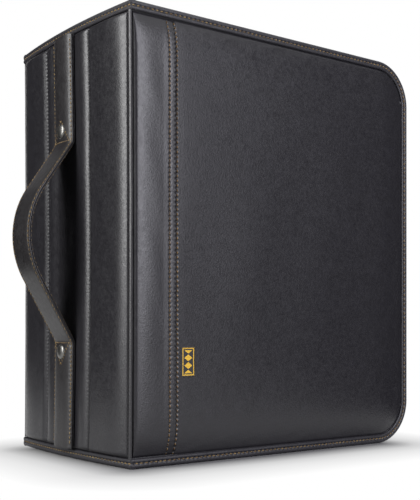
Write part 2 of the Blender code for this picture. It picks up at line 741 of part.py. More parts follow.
def build_case():
    clear_scene()
    finishes = {
        "leatherette": material("black leatherette", (0.030, 0.030, 0.034), 0.45),
        "handle_leather": material("black handle leather", (0.026, 0.025, 0.025), 0.5),
        "lining": material("black lining cloth", (0.016, 0.016, 0.017), 0.9),
        "board": material("grey board", (0.30, 0.28, 0.25), 0.9),
        "page": material("sleeve film and felt", (0.05, 0.05, 0.055), 0.35),
        "zip_tape": material("black zip tape", (0.012, 0.012, 0.013), 0.9),
        "zip_coil": material("black nylon coil", (0.02, 0.02, 0.021), 0.4),
        "zip_metal": material("dark plated zip metal", (0.12, 0.12, 0.12), 0.3, 1.0),
        "rivet": material("nickel rivet", (0.55, 0.55, 0.55), 0.25, 1.0),
        "tab": material("woven tab", (0.02, 0.02, 0.02), 0.8),
    }
    strap = strap_rings(0, outer_face(), PANEL_INSET, HEIGHT - PANEL_INSET)
    reach = -min(point[0] for ring in strap for point in ring)
    proud = CROWN + max(STRIP_LAP, SEAT_GAP + TAB_THICKNESS)
    middle_y = (DEPTH + CROWN + STRIP_LAP - proud) / 2
    case = pivot("case", ((COVER_WIDTH - reach) / 2, middle_y, 0))
    front_hinge = pivot("front_cover_hinge", (HINGE_X, 0, 0), case)
    back_hinge = pivot("back_cover_hinge", (HINGE_X, DEPTH, 0), case)
    slider_x = COIL_START - SLIDER_CLEARANCE - SLIDER_NECK + SLIDER_LENGTH / 2
    slider_top = slider_levels()[3]
    runner = pivot("zip_runner", (slider_x, MID_DEPTH, slider_top), back_hinge)
    swivel = pivot("puller_pivot", (slider_x, MID_DEPTH, slider_top + PIVOT_RISE), runner)
    build_spine(case, finishes)
    build_pages(case, finishes["page"])
    build_cover("front", lambda y: y, front_hinge, finishes)
    build_cover("back", lambda y: DEPTH - y, back_hinge, finishes)
    build_tab(front_hinge, finishes["tab"])
    build_slider(runner, finishes["zip_metal"])
    build_puller(swivel, finishes["zip_metal"])
    for pivot_made in (case, front_hinge, back_hinge, runner, swivel):
        print(pivot_made["empty"].name, pivot_made["place"] - case["place"])


build_case()
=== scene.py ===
import math

import bpy
import numpy as np
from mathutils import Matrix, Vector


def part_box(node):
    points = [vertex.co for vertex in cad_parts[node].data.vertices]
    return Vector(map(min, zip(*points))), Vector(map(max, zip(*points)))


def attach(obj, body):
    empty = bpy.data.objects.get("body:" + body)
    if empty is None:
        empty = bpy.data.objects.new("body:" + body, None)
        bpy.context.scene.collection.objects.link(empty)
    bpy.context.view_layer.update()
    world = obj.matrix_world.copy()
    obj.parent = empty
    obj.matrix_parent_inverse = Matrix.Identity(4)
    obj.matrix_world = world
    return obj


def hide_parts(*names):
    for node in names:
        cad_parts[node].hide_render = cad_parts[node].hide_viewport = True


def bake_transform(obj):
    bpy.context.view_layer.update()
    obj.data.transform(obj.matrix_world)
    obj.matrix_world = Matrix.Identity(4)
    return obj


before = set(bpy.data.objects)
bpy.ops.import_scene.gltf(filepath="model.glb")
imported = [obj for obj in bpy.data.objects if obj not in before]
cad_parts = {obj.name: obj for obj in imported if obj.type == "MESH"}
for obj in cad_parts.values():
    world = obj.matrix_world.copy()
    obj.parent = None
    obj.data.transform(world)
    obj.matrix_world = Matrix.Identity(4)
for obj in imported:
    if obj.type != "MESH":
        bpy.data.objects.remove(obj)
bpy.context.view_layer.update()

# The zipped disc case is shaped in its own millimetres: x from the spine's plane to the fore-edge,
# y from the front rim to the back rim, z up from the floor. The frame gives its outer sizes.
bindingLow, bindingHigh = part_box("front_binding")
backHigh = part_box("back_binding")[1]
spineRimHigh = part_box("spine_rim_top")[1]
spineRimDepth = 4.8
spinePlane = spineRimHigh[0] * 1000 - spineRimDepth
caseCorner = np.array([spinePlane, bindingLow[1] * 1000, 0.0])

case = {
    "height": bindingHigh[2] * 1000,
    "width": bindingHigh[0] * 1000 - spinePlane,
    "depth": (backHigh[1] - bindingLow[1]) * 1000,
    "cornerRadius": 36.0,
    "rimWidth": 7.3,
    "rimDepth": 4.6,
    "hem": 1.5,                 # under the bindings the padded skins end this far inside the edge,
    "skinBack": 2.3,            # and their inner face lies this deep behind the rims' face
}
height = case["height"]
width = case["width"]
depth = case["depth"]
middle = depth / 2
radius = case["cornerRadius"]
rimWidth = case["rimWidth"]
panelInset = rimWidth + 0.3


def toFrame(points):            # case millimetres to frame metres
    return (np.asarray(points, dtype=float) + caseCorner) / 1000


# Small shape helpers, all on whole arrays

def rise(share):                # padding: climbs steeply from its seam, level after share 1
    return 1 - (1 - np.clip(share, 0, 1)) ** 4


def bump(value, centre, spread):            # a bell of height 1 round centre
    return np.exp(-((value - centre) / spread) ** 2)


def smooth(value, low, high):               # 0 below low, 1 above high, an S between
    t = np.clip((value - low) / (high - low), 0, 1)
    return t * t * (3 - 2 * t)


def atLeast(low, share):        # a share of 0 to 1 carried to low to 1
    return low + (1 - low) * share


def fromRim(z):                 # height above the lower binding or below the upper one
    return np.minimum(z, height - z) - panelInset


def softWaves(a, b, size, seed):            # eight slanted sine waves about size long, mostly -1 to 1
    draw = np.random.default_rng(seed)
    total = np.zeros(np.broadcast(a, b).shape)
    for step in range(8):
        angle = draw.uniform(0, 2 * math.pi)
        wave = size * draw.uniform(0.6, 1.6)
        phase = draw.uniform(0, 2 * math.pi)
        total = total + np.sin((a * math.cos(angle) + b * math.sin(angle)) * 2 * math.pi / wave + phase)
    return total / 5


def unit(vectors):              # vectors divided by their lengths
    return vectors / np.maximum(np.linalg.norm(vectors, axis=-1, keepdims=True), 1e-9)


def stack(*parts):              # x, y and z arrays of one shape side by side in a last axis
    return np.stack(np.broadcast_arrays(*parts), axis=-1).astype(float)


# Mesh parts: each is (points, faces), and several make one piece

def gridFaces(rows, columns, closed=False):     # quads between neighbours of a grid
    across = columns if closed else columns - 1
    r, c = np.meshgrid(np.arange(rows - 1), np.arange(across), indexing="ij")
    following = (c + 1) % columns
    a, b = r * columns + c, r * columns + following
    return np.stack([a, b, b + columns, a + columns], axis=-1).reshape(-1, 4)


def slab(outer, inner):
    # A closed sheet between two grids of one shape: both faces, and four walls round their edges.
    rows, columns = outer.shape[:2]
    count = rows * columns
    front = gridFaces(rows, columns)
    back = gridFaces(rows, columns)[:, ::-1] + count
    index = np.arange(count).reshape(rows, columns)
    edge = np.concatenate([index[0, :-1], index[:-1, -1], index[-1, :0:-1], index[:0:-1, 0]])
    onward = np.roll(edge, -1)
    walls = np.stack([onward, edge, edge + count, onward + count], axis=-1)
    points = np.concatenate([outer.reshape(-1, 3), inner.reshape(-1, 3)])
    return points, np.concatenate([front, back, walls]).tolist()


def sheet(outer, inner, flip):              # a slab that is turned inside out where flip is true
    return slab(outer[:, ::-1], inner[:, ::-1]) if flip else slab(outer, inner)


def tube(rings):
    # Closed sections carried along a path, with flat ends; rings is (stations, points, 3).
    stations, around = rings.shape[:2]
    faces = gridFaces(stations, around, closed=True).tolist()
    faces.append(list(range(around))[::-1])
    faces.append(list(range((stations - 1) * around, stations * around)))
    return rings.reshape(-1, 3), faces


def turned(profile, centre, axis, steps=40):
    # A (radius, height) profile that starts and ends on the axis, turned round it.
    profile = np.asarray(profile, dtype=float)
    axis = unit(np.asarray(axis, dtype=float))
    slanted = [0.0, 0.31, 1.0]              # any direction that isn't the axis
    side = unit(np.cross(axis, slanted))
    other = np.cross(axis, side)
    angle = np.arange(steps) * 2 * math.pi / steps
    ring = np.cos(angle)[:, None] * side + np.sin(angle)[:, None] * other
    rings = centre + profile[:, 1][:, None, None] * axis + profile[:, 0][:, None, None] * ring[None]
    body = rings[1:-1].reshape(-1, 3)
    count = len(profile) - 2
    faces = gridFaces(count, steps, closed=True)[:, ::-1].tolist()
    first, last = count * steps, count * steps + 1
    around = np.arange(steps)
    onward = (around + 1) % steps
    faces += np.stack([np.full(steps, first), around, onward], axis=-1).tolist()
    base = (count - 1) * steps
    faces += np.stack([np.full(steps, last), base + onward, base + around], axis=-1).tolist()
    return np.concatenate([body, rings[0, :1], rings[-1, :1]]), faces


stitchShape = {
    "stations": (-1.0, -0.72, 0.0, 0.72, 1.0),      # along half the thread's length
    "around": 6,
    "rise": 0.36,               # the middle stands up by this share of the thread's width,
    "dive": 0.95,               # and the ends dip this much from there
    "taper": 0.45,              # how much thinner the ends are
    "flat": 0.8,                # thickness over width
}


def stitchRow(centres, along, outward, thread, slant=0.0):
    # One bowed thread for each centre: a capsule whose ends dip under the surface.
    # Its centre line is an arch, its radius narrows to both ends, and slant turns it a little.
    along = unit(along)
    outward = unit(outward)
    side = np.cross(outward, along)
    along = unit(along + side * slant)
    side = np.cross(outward, along)
    share = np.array(stitchShape["stations"])
    around = stitchShape["around"]
    lift = thread["width"] * (stitchShape["rise"] - stitchShape["dive"] * np.abs(share) ** 3)
    thick = thread["width"] / 2 * (1 - stitchShape["taper"] * share ** 4)
    angle = np.arange(around) * 2 * math.pi / around
    lengthwise = (share * thread["length"] / 2)[:, None] * np.ones(around)
    upward = lift[:, None] + thick[:, None] * np.sin(angle) * stitchShape["flat"]
    sideways = thick[:, None] * np.cos(angle)
    local = np.stack([lengthwise, upward, sideways], axis=-1).reshape(-1, 3)
    basis = np.stack([along, outward, side], axis=1)
    points = centres[:, None, :] + np.einsum("ki,sij->skj", local, basis)
    size = len(share) * around
    shift = (np.arange(len(centres)) * size)[:, None, None]
    faces = (gridFaces(len(share), around, closed=True)[None] + shift).reshape(-1, 4).tolist()
    ends = np.stack([np.arange(around)[::-1], np.arange(size - around, size)])
    faces += (ends[None] + shift).reshape(-1, around).tolist()
    return points.reshape(-1, 3), faces


def sew(path, at, outward, thread, slant):
    # A row of stitches at these distances along a path, which is a function of distance.
    return stitchRow(path(at), path(at + 0.5) - path(at), outward, thread, slant)


sharpAngle = 48.0               # degrees between two faces past which their edge is shaded sharp


def makePiece(name, parts, material, body=None, shades=None):
    # Joins parts into one mesh at the origin. shades is one value from 0 to 1 for each point,
    # kept as the attribute "shade", which the leather's colour reads as painted shade in needle holes.
    points = []
    faces = []
    total = 0
    for partPoints, partFaces in parts:
        points.append(partPoints)
        faces += [[corner + total for corner in face] for face in partFaces] if total else partFaces
        total += len(partPoints)
    mesh = bpy.data.meshes.new(name)
    mesh.from_pydata(toFrame(np.concatenate(points)).tolist(), [], faces)
    mesh.materials.append(material)
    if shades is not None:
        layer = mesh.attributes.new("shade", "FLOAT", "POINT")
        layer.data.foreach_set("value", np.asarray(shades, dtype=np.float32))
    mesh.shade_smooth()
    mesh.set_sharp_from_angle(angle=math.radians(sharpAngle))
    made = bpy.data.objects.new(name, mesh)
    bpy.context.collection.objects.link(made)
    if body:
        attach(made, body)
    return made


# Materials

def linear(hexColour):          # sRGB hex to linear light
    values = [int(hexColour[i:i + 2], 16) / 255 for i in (0, 2, 4)]
    return tuple(v / 12.92 if v <= 0.04045 else ((v + 0.055) / 1.055) ** 2.4 for v in values) + (1.0,)


def addNode(tree, kind, settings=None, links=None):
    # Adds a node: settings are its attributes or socket values, links are (socket, source) pairs.
    node = tree.nodes.new(kind)
    for key, value in (settings or {}).items():
        if isinstance(key, str) and hasattr(node, key) and key not in node.inputs:
            setattr(node, key, value)
        else:
            node.inputs[key].default_value = value
    for key, source in (links or {}).items():
        tree.links.new(source, node.inputs[key])
    return node


def newMaterial(name):
    material = bpy.data.materials.new(name)
    material.use_nodes = True
    material.node_tree.nodes.clear()
    return material, material.node_tree


def colourBetween(tree, factor, low, high):         # a ramp from one hex colour to another
    ramp = addNode(tree, "ShaderNodeValToRGB", links={"Fac": factor})
    ramp.color_ramp.elements[0].color = linear(low)
    ramp.color_ramp.elements[1].color = linear(high)
    return ramp.outputs["Color"]


def calc(tree, operation, *values):         # a maths node on sockets and plain numbers
    node = addNode(tree, "ShaderNodeMath", {"operation": operation})
    for slot, value in enumerate(values):
        if isinstance(value, (int, float)):
            node.inputs[slot].default_value = value
        else:
            tree.links.new(value, node.inputs[slot])
    return node.outputs[0]


def objectPlace(tree):
    return addNode(tree, "ShaderNodeTexCoord").outputs["Object"]


def noise(tree, place, sizeMm, detail):     # soft spots about sizeMm across, 0 to 1
    return addNode(tree, "ShaderNodeTexNoise", {"Scale": 1000 / sizeMm, "Detail": detail}, {
        "Vector": place,
    }).outputs["Fac"]


def bands(tree, place, direction, unitMm, distortion):      # waves about a third of unitMm apart
    return addNode(tree, "ShaderNodeTexWave", {
        "bands_direction": direction, "Scale": 1000 / unitMm, "Distortion": distortion,
    }, {"Vector": place}).outputs["Fac"]


def relief(tree, level, strength, distance):        # a bump so many metres high, as a normal
    return addNode(tree, "ShaderNodeBump", {"Strength": strength, "Distance": distance}, {
        "Height": level,
    }).outputs["Normal"]


def spreadOver(tree, value, low, high):     # a value of 0 to 1 carried to low to high
    return addNode(tree, "ShaderNodeMapRange", {"To Min": low, "To Max": high}, {
        "Value": value,
    }).outputs[0]


def finishSurface(tree, settings, links):   # the surface's shader and the material's output
    shader = addNode(tree, "ShaderNodeBsdfPrincipled", settings, links)
    addNode(tree, "ShaderNodeOutputMaterial", links={"Surface": shader.outputs[0]})


leatherLook = {
    "grainMm": 1.25,            # pressed pebble, drawn as coarse as it shows
    "grainDepth": 0.00012,
    "creaseMm": 9.0,
    "creaseDepth": 0.0004,
    "mottleMm": 2.6,
    "roughness": 0.34,
    "smoother": 0.06,           # how far the roughness falls and rises over the mottling
    "rougher": 0.09,
    # painted shade: the near black that the needle holes are coloured with
    "holeShade": "0a0705",
}
unitThreads = 6.3               # a wave texture with a unit of so many threads has bands of two threads


def leatherette(name, low, high, roughness, grain=1.0):
    # PVC leatherette, calendered and pressed with a fine pebble: dark, even colour with a soft
    # broad sheen, mottled a little, with painted shade where the attribute "shade" marks needle holes.
    material, tree = newMaterial(name)
    place = objectPlace(tree)
    grainMm = leatherLook["grainMm"] * grain
    pebble = addNode(tree, "ShaderNodeTexVoronoi", {
        "feature": "SMOOTH_F1", "Scale": 1000 / grainMm, "Smoothness": 0.6,
    }, {"Vector": place})
    broad = addNode(tree, "ShaderNodeTexNoise", {
        "Scale": 1000 / leatherLook["creaseMm"], "Detail": 4.0, "Roughness": 0.6,
    }, {"Vector": place}).outputs["Fac"]
    fine = noise(tree, place, grainMm * 0.5, 3.0)
    level = calc(tree, "MULTIPLY_ADD", fine, 0.35, pebble.outputs["Distance"])
    creases = addNode(tree, "ShaderNodeBump", {
        "Strength": 0.14, "Distance": leatherLook["creaseDepth"],
    }, {"Height": broad, "Normal": relief(tree, level, 0.55, leatherLook["grainDepth"])})
    shade = addNode(tree, "ShaderNodeAttribute", {"attribute_name": "shade"})
    # painted shade in the needle holes: the colour goes to near black where the attribute is 1
    colour = addNode(tree, "ShaderNodeMix", {
        "data_type": "RGBA", 7: linear(leatherLook["holeShade"]),
    }, {0: shade.outputs["Fac"], 6: colourBetween(tree, broad, low, high)})
    worn = calc(tree, "MULTIPLY_ADD", broad, 0.45, noise(tree, place, leatherLook["mottleMm"], 2.0))
    spread = addNode(tree, "ShaderNodeMapRange", {
        "From Min": 0.45, "From Max": 1.0,
        "To Min": roughness - leatherLook["smoother"], "To Max": roughness + leatherLook["rougher"],
    }, {"Value": worn})
    finishSurface(tree, {"IOR": 1.46}, {
        "Base Color": colour.outputs[2],
        "Roughness": spread.outputs[0],
        "Normal": creases.outputs["Normal"],
    })
    return material


def sewingThread(name, low, high):
    # Bonded polyester thread, twisted from three plies: soft sheen, colour that changes ply by ply.
    material, tree = newMaterial(name)
    place = objectPlace(tree)
    ply = bands(tree, place, "DIAGONAL", 5.4, 1.0)
    mixed = calc(tree, "MULTIPLY", ply, noise(tree, place, 6.0, 2.0))
    finishSurface(tree, {"Roughness": 0.7, "Sheen Weight": 0.06, "Sheen Roughness": 0.5}, {
        "Base Color": colourBetween(tree, mixed, low, high),
        "Normal": relief(tree, ply, 0.5, 0.00008),
    })
    return material


def wovenCloth(name, low, high, threadMm, roughness=0.85):
    # Plain weave of dyed polyester: crossed threads that shade each other, with a dull sheen.
    material, tree = newMaterial(name)
    place = objectPlace(tree)
    waves = [bands(tree, place, direction, threadMm * unitThreads, 0.3) for direction in ("X", "Y", "Z")]
    weave = calc(tree, "MULTIPLY_ADD", waves[1], 0.5, calc(tree, "MULTIPLY", waves[0], waves[2]))
    finishSurface(tree, {"Roughness": roughness, "Sheen Weight": 0.2, "Sheen Roughness": 0.6}, {
        "Base Color": colourBetween(tree, weave, low, high), "Normal": relief(tree, weave, 0.6, 0.0002),
    })
    return material


def platedMetal(name, low, high, roughness):
    # Stamped steel with a plated finish: mirror-like, with fine tumbling marks.
    material, tree = newMaterial(name)
    marks = noise(tree, objectPlace(tree), 1.5, 5.0)
    finishSurface(tree, {"Metallic": 1.0}, {
        "Base Color": colourBetween(tree, marks, low, high),
        "Roughness": spreadOver(tree, marks, roughness * 0.7, roughness * 1.4),
    })
    return material


def greyBoard(name):
    # Pressed grey board: fibrous, matt, with flecks.
    material, tree = newMaterial(name)
    fibre = noise(tree, objectPlace(tree), 1.2, 6.0)
    finishSurface(tree, {"Roughness": 0.92}, {
        "Base Color": colourBetween(tree, fibre, "7d7770", "a39c92"),
    })
    return material


def coilNylon(name):
    # Nylon monofilament, coiled and heat set: dark and slightly glossy.
    material, tree = newMaterial(name)
    scuff = noise(tree, objectPlace(tree), 3.0, 3.0)
    finishSurface(tree, {"IOR": 1.53}, {
        "Base Color": colourBetween(tree, scuff, "141416", "1e1e20"),
        "Roughness": spreadOver(tree, scuff, 0.28, 0.45),
    })
    return material


blackLeatherette = leatherette("pressedLeatherette", "1c1b1e", "222125", leatherLook["roughness"])
bindingLeatherette = leatherette("foldedLeatheretteTape", "201f23", "27262b", 0.46, 0.8)
strapLeatherette = leatherette("strapLeatherette", "191718", "201e20", 0.4, 0.9)
goldThread = sewingThread("ochreThread", "5a4526", "a98f5c")
tanThread = sewingThread("tanThread", "573f1f", "ad8646")
blackThread = sewingThread("blackThread", "0c0c0d", "1f1f21")
liningCloth = wovenCloth("wovenLining", "111113", "242427", 0.6)
zipTapeCloth = wovenCloth("wovenZipTape", "101012", "202023", 0.7)
coil = coilNylon("nylonCoil")
nickel = platedMetal("platedRivet", "545351", "807f7c", 0.34)
gunmetal = platedMetal("platedZipMetal", "3d3d40", "5b5b5e", 0.3)
board = greyBoard("greyBoard")
print("materials made")


# Camera: level, its frame shifted up as in the photograph, left of the case's corner

cameraSettings = {
    "place": (-467.0, -635.9, 98.9),        # millimetres in the frame
    "yaw": -36.95,                          # degrees from +Y, clockwise
    "lens": 66.7,
    "shiftY": 0.1572,
}
cameraData = bpy.data.cameras.new("camera")
cameraData.lens = cameraSettings["lens"]
cameraData.shift_y = cameraSettings["shiftY"]
cameraData.clip_end = 30
camera = bpy.data.objects.new("camera", cameraData)
camera.location = [value / 1000 for value in cameraSettings["place"]]
camera.rotation_euler = (math.pi / 2, 0, math.radians(cameraSettings["yaw"]))
bpy.context.collection.objects.link(camera)
bpy.context.scene.camera = camera


# Paths along the bound edges

def aroundCover(s, start):
    # Distance s along the outer edge from the spine end of the top, over both round corners, to
    # the spine end of the bottom: gives the bend's centre and the outward direction there.
    straight = width - radius - start
    quarter = math.pi / 2 * radius
    down = height - 2 * radius
    top = np.clip(s, 0, straight)
    first = np.clip((s - straight) / radius, 0, math.pi / 2)
    side = np.clip(s - straight - quarter, 0, down)
    second = np.clip((s - straight - quarter - down) / radius, 0, math.pi / 2)
    bottom = np.clip(s - straight - 2 * quarter - down, 0, straight)
    angle = math.pi / 2 - first - second
    return start + top - bottom, height - radius - side, np.cos(angle), np.sin(angle)


def edgeLength(start):
    return 2 * (width - radius - start) + math.pi * radius + height - 2 * radius


def onEdge(s, start, inset, y):             # points at inset from the outer edge and depth y
    centreX, centreZ, outX, outZ = aroundCover(s, start)
    return stack(centreX + outX * (radius - inset), y, centreZ + outZ * (radius - inset))


def outwardAt(s, start):
    _, _, outX, outZ = aroundCover(s, start)
    return stack(outX, np.zeros_like(outX), outZ)


sides = {
    "front": {"rim": 0.0, "turn": 1.0},     # turn is +1 where depth grows inwards along +y
    "back": {"rim": depth, "turn": -1.0},
}


def depthAt(side, inward):                  # y at a depth inward from a cover's rim face
    return sides[side]["rim"] + sides[side]["turn"] * inward


def hingeBlend(piece):    # bakes the piece's placement into its points
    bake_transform(piece)


# Bindings of the covers

binding = {
    "start": 0.2,
    "spineStitches": 6.0,       # up to this x the stitches stay with the spine when a cover opens
    "tape": 0.9,
    "dome": 0.35,               # the tape swells a little on each side of its seam,
    "domeEnd": 0.8,             # up to this far from the outer edge
    "turnedEdge": 0.5,          # its free edge is turned down by this much
    "seamInset": 4.1,
    "seamDip": 0.45,
    "holeDepth": 0.85,
    "holeSpread": 0.7,
    "wobble": 0.12,
    "pitch": 4.0,
    "fold": 1.3,
    "stepMm": 0.6,
}
rimThread = {"length": 2.3, "width": 0.95}


def tapeSection(deep):
    # Profile of a folded tape as (inset, depth): from the outer leg's free edge, over its
    # doming and its seam, round the fold, and back along the inner leg and the hollow.
    fold = binding["fold"]
    legs = np.linspace(rimWidth, fold, 15)
    share = np.clip((rimWidth - legs) / (rimWidth - binding["domeEnd"]), 0, 1)
    swell = binding["dome"] * np.sin(np.pi * share) ** 0.6
    dip = bump(legs, binding["seamInset"], 0.9)
    edge = binding["turnedEdge"] * bump(legs, rimWidth, 0.4)
    outer = np.stack([legs, -swell + edge, dip], axis=-1)
    angle = np.linspace(0, math.pi, 11)[1:-1]
    bend = np.stack([
        fold * (1 - np.sin(angle)), deep / 2 - deep / 2 * np.cos(angle), np.zeros_like(angle),
    ], axis=-1)
    inner = np.stack([legs[::-1], deep + (swell - edge)[::-1], dip[::-1]], axis=-1)
    tape = binding["tape"]
    hollow = np.array([
        [rimWidth, deep - tape, 0], [fold, deep - tape, 0], [fold, tape, 0], [rimWidth, tape, 0],
    ])
    profile = np.concatenate([outer, bend, inner, hollow])
    count = len(legs)
    sign = np.concatenate([np.ones(count), np.zeros(len(bend)), -np.ones(count), np.zeros(4)])
    return profile, sign


def seamHoles(s, pitch, sharp):             # 1 at each needle hole along a seam, 0 between
    return np.exp(-((((s / pitch) + 0.5) % 1 - 0.5) * pitch / sharp) ** 2)


def rimHoles(at, inset, sign):
    # The needle holes of a binding's seam: 1 in a hole, 0 elsewhere and off the two legs.
    spread = binding["holeSpread"]
    holes = seamHoles(at, binding["pitch"], spread)[:, None] * bump(inset, binding["seamInset"], spread)
    return holes * (np.abs(sign) > 0)


def makeBinding(side):
    start = binding["start"]
    length = edgeLength(start)
    stations = int(length / binding["stepMm"])
    s = np.linspace(0, length, stations)
    profile, sign = tapeSection(case["rimDepth"])
    holes = rimHoles(s, profile[:, 0], sign)
    dip = profile[:, 2] * binding["seamDip"] + holes * binding["holeDepth"]
    wobble = binding["wobble"] * softWaves(s[:, None], profile[:, 0] * 3, 30, 11) * (profile[:, 0] > 0.2)
    deep = profile[:, 1] + sign * (dip + wobble)
    rings = onEdge(s[:, None], start, profile[:, 0], depthAt(side, deep))
    part = tube(rings if side == "back" else rings[:, ::-1])
    shades = holes if side == "back" else holes[:, ::-1]
    piece = makePiece(side + "_bound_edge", [part], bindingLeatherette, None, shades.ravel())
    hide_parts(side + "_binding")
    hingeBlend(piece)
    centres = np.arange(0, length - 3, binding["pitch"]) + binding["pitch"] / 2
    seam = binding["dome"] - binding["seamDip"]
    coverRows = []
    spineRows = []
    for deepAt, way in ((-seam, -1.0), (case["rimDepth"] + seam, 1.0)):
        def path(at):
            return onEdge(at, start, binding["seamInset"], depthAt(side, deepAt))

        out = stack(np.zeros_like(centres), way * sides[side]["turn"], np.zeros_like(centres))
        far = path(centres)[:, 0] > binding["spineStitches"]
        for chosen, rows in ((far, coverRows), (~far, spineRows)):
            rows.append(sew(path, centres[chosen], out[chosen], rimThread, 0.06))
    return coverRows, spineRows


# Padded hinge strip beside each spine corner, sewn over the main panel

strip = {
    "end": 38.4,
    "crown": 3.2,
    "lap": 0.7,
    "sunk": 1.2,                # its sewn edge lies this deep,
    "edge": 0.9,                # and its other edges are rounded down by this much
    "thick": 0.9,
    "run": 24.0,
    "fullRun": 50.0,            # its full height is reached this far from both bindings
    "wall": 1.85,               # the folded edge stands up from the groove here,
    "wallRun": 0.4,
    "lipRun": 0.7,              # rounds over the lip, and then climbs slowly
    "shares": (0.49, 0.16, 0.35),       # of its height: wall, lip and slow climb
    "pinch": 22.0,
    "pinchedTo": 0.35,          # what is left of wall and lip at the bindings,
    "groove": 2.6,
    "grooveTo": 0.3,            # and of the groove
    "ripple": 0.1,
    "waistShare": 0.25,
    "lines": (30.2, 36.4),
    "pitch": 3.45,
    "holes": (0.65, 1.1),       # spread of the needle holes on the two lines
    "holeDepth": 0.75,
    "seamDip": 0.04,
    "lift": (25.0, 36.8, 0.06), # between these lines the strip rises towards the panel it laps
}
twinThreads = ({"length": 2.3, "width": 0.66}, {"length": 1.7, "width": 0.85})
spineForm = {"bow": 5.0, "waist": 2.0, "padRun": 20.0}


def waist(z):                   # how far the spine and its corners draw in at mid height
    return spineForm["waist"] * (1 - (2 * z / height - 1) ** 2) * rise(fromRim(z) / spineForm["padRun"])


def stripHeight(x, z):
    # Outward height: a deep gutter by the welt, a puffed strip pinched at both bindings, twin seams.
    full = rise(fromRim(z) / strip["fullRun"])
    pinched = atLeast(strip["pinchedTo"], full) * rise(fromRim(z) / strip["pinch"])
    wallShare, lipShare, slowShare = strip["shares"]
    wall = np.clip((x - strip["wall"]) / strip["wallRun"], 0, 1)
    past = np.maximum(x - strip["wall"] - strip["wallRun"], 0)
    lip = 1 - np.exp(-past / strip["lipRun"])
    edge = pinched * (wallShare * wall + lipShare * lip)
    climb = slowShare * full * rise(past / strip["run"])
    crest = (strip["sunk"] + strip["crown"] + strip["lap"]) * (edge + climb) - strip["sunk"]
    gutter = -strip["groove"] * (1 - wall) * atLeast(strip["grooveTo"], full)
    seams = sum(bump(x, line, 0.9) for line in strip["lines"]) * strip["seamDip"]
    liftFrom, liftTo, slope = strip["lift"]
    ripple = strip["ripple"] * softWaves(x, z * 0.6, 26, 3) * full * smooth(x, 5, 9)
    ripple = ripple + slope * (np.clip(x, liftFrom, liftTo) - liftFrom) * full
    rounded = smooth(x, strip["end"] - 0.7, strip["end"] + 0.2) + bump(fromRim(z), 0.3, 0.9)
    return crest + gutter - seams + ripple - strip["edge"] * rounded


def withWaist(x, z):            # the strip follows the spine's waist, less and less towards the panel
    return x + strip["waistShare"] * waist(z) * (1 - smooth(x, 2, 30))


def makeHingeStrip(side):
    near = np.concatenate([np.arange(line - 1.6, line + 1.61, 0.36) for line in strip["lines"]])
    top = strip["wall"] + strip["wallRun"]          # the lip is sharp, so its columns lie close
    x = np.unique(np.concatenate([
        np.linspace(0.8, strip["wall"] - 0.1, 6), np.linspace(strip["wall"], top - 0.1, 4),
        top + np.array([-0.03, -0.006, 0, 0.008, 0.03, 0.1]), np.linspace(top + 0.2, 9.0, 26),
        np.linspace(9.3, 12.2, 8), np.linspace(12.5, 28, 16), near, np.linspace(37.4, strip["end"], 6),
    ]).round(3))
    z = np.linspace(case["hem"], height - case["hem"], 780)
    gridX, gridZ = np.meshgrid(x, z, indexing="ij")
    holes = np.zeros_like(gridX)
    for line, spread in zip(strip["lines"], strip["holes"]):
        holes += seamHoles(gridZ, strip["pitch"], spread) * bump(gridX, line, spread)
    holes *= (fromRim(gridZ) > 1.5)
    up = stripHeight(gridX, gridZ) - strip["holeDepth"] * holes
    shiftX = withWaist(gridX, gridZ)
    outer = stack(shiftX, depthAt(side, -up), gridZ)
    inner = stack(shiftX, depthAt(side, np.maximum(-up + strip["thick"], case["skinBack"])), gridZ)
    part = sheet(outer, inner, side == "back")
    both = holes if side == "front" else holes[:, ::-1]
    shades = np.concatenate([both.ravel(), np.zeros(both.size)])
    piece = makePiece(side + "_padded_strip", [part], blackLeatherette, None, shades)
    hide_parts(side + "_hinge_strip")
    hingeBlend(piece)
    rows = []
    for number, line in enumerate(strip["lines"]):
        middles = np.arange(2, int(height / strip["pitch"]) - 2) * strip["pitch"] + strip["pitch"] / 2
        lineX = np.full_like(middles, line)
        shifted = withWaist(lineX, middles)

        def path(at):
            return stack(shifted, depthAt(side, -stripHeight(lineX, at)), at)

        out = stack(0 * middles, -sides[side]["turn"] + 0 * middles, 0 * middles)
        rows.append(sew(path, middles, out, twinThreads[number], 0.08 if number else -0.08))
    return rows


# Main panels

panel = {
    "crown": 3.2, "run": 50.0, "sunk": 0.8,
    "under": 0.9,               # it runs on this far under the hinge strip,
    "tuck": 0.5,                # and lies this much lower there
    "ripple": 0.22, "seamDip": 0.06, "pucker": 0.12, "pinch": 0.6,
}


def panelHeight(x, z):
    # Outward height of the main panel: a groove at the binding, then padding that rises to its crown.
    corner = radius - panelInset
    overX = np.maximum(x - (width - radius), 0)
    overZ = np.maximum(np.abs(z - height / 2) - (height / 2 - radius), 0)
    rounded = corner - np.hypot(overX, overZ)
    plain = np.minimum(width - panelInset - x, height / 2 - panelInset - np.abs(z - height / 2))
    inward = np.where((overX > 0) & (overZ > 0), rounded, plain)
    full = rise(inward / panel["run"])
    ripple = panel["ripple"] * softWaves(x * 0.5, z * 0.35, 45, 21) * smooth(inward, 4, 40)
    seam = -panel["seamDip"] * bump(x, strip["end"], 3.0) * smooth(inward, 0, 10)
    pucker = panel["pucker"] * softWaves(x, z, 12, 5) * bump(inward, 5, 6)
    pinch = pucker - panel["pinch"] * bump(inward, 0.1, 0.6)
    return (panel["sunk"] + panel["crown"]) * full - panel["sunk"] + ripple + seam + pinch


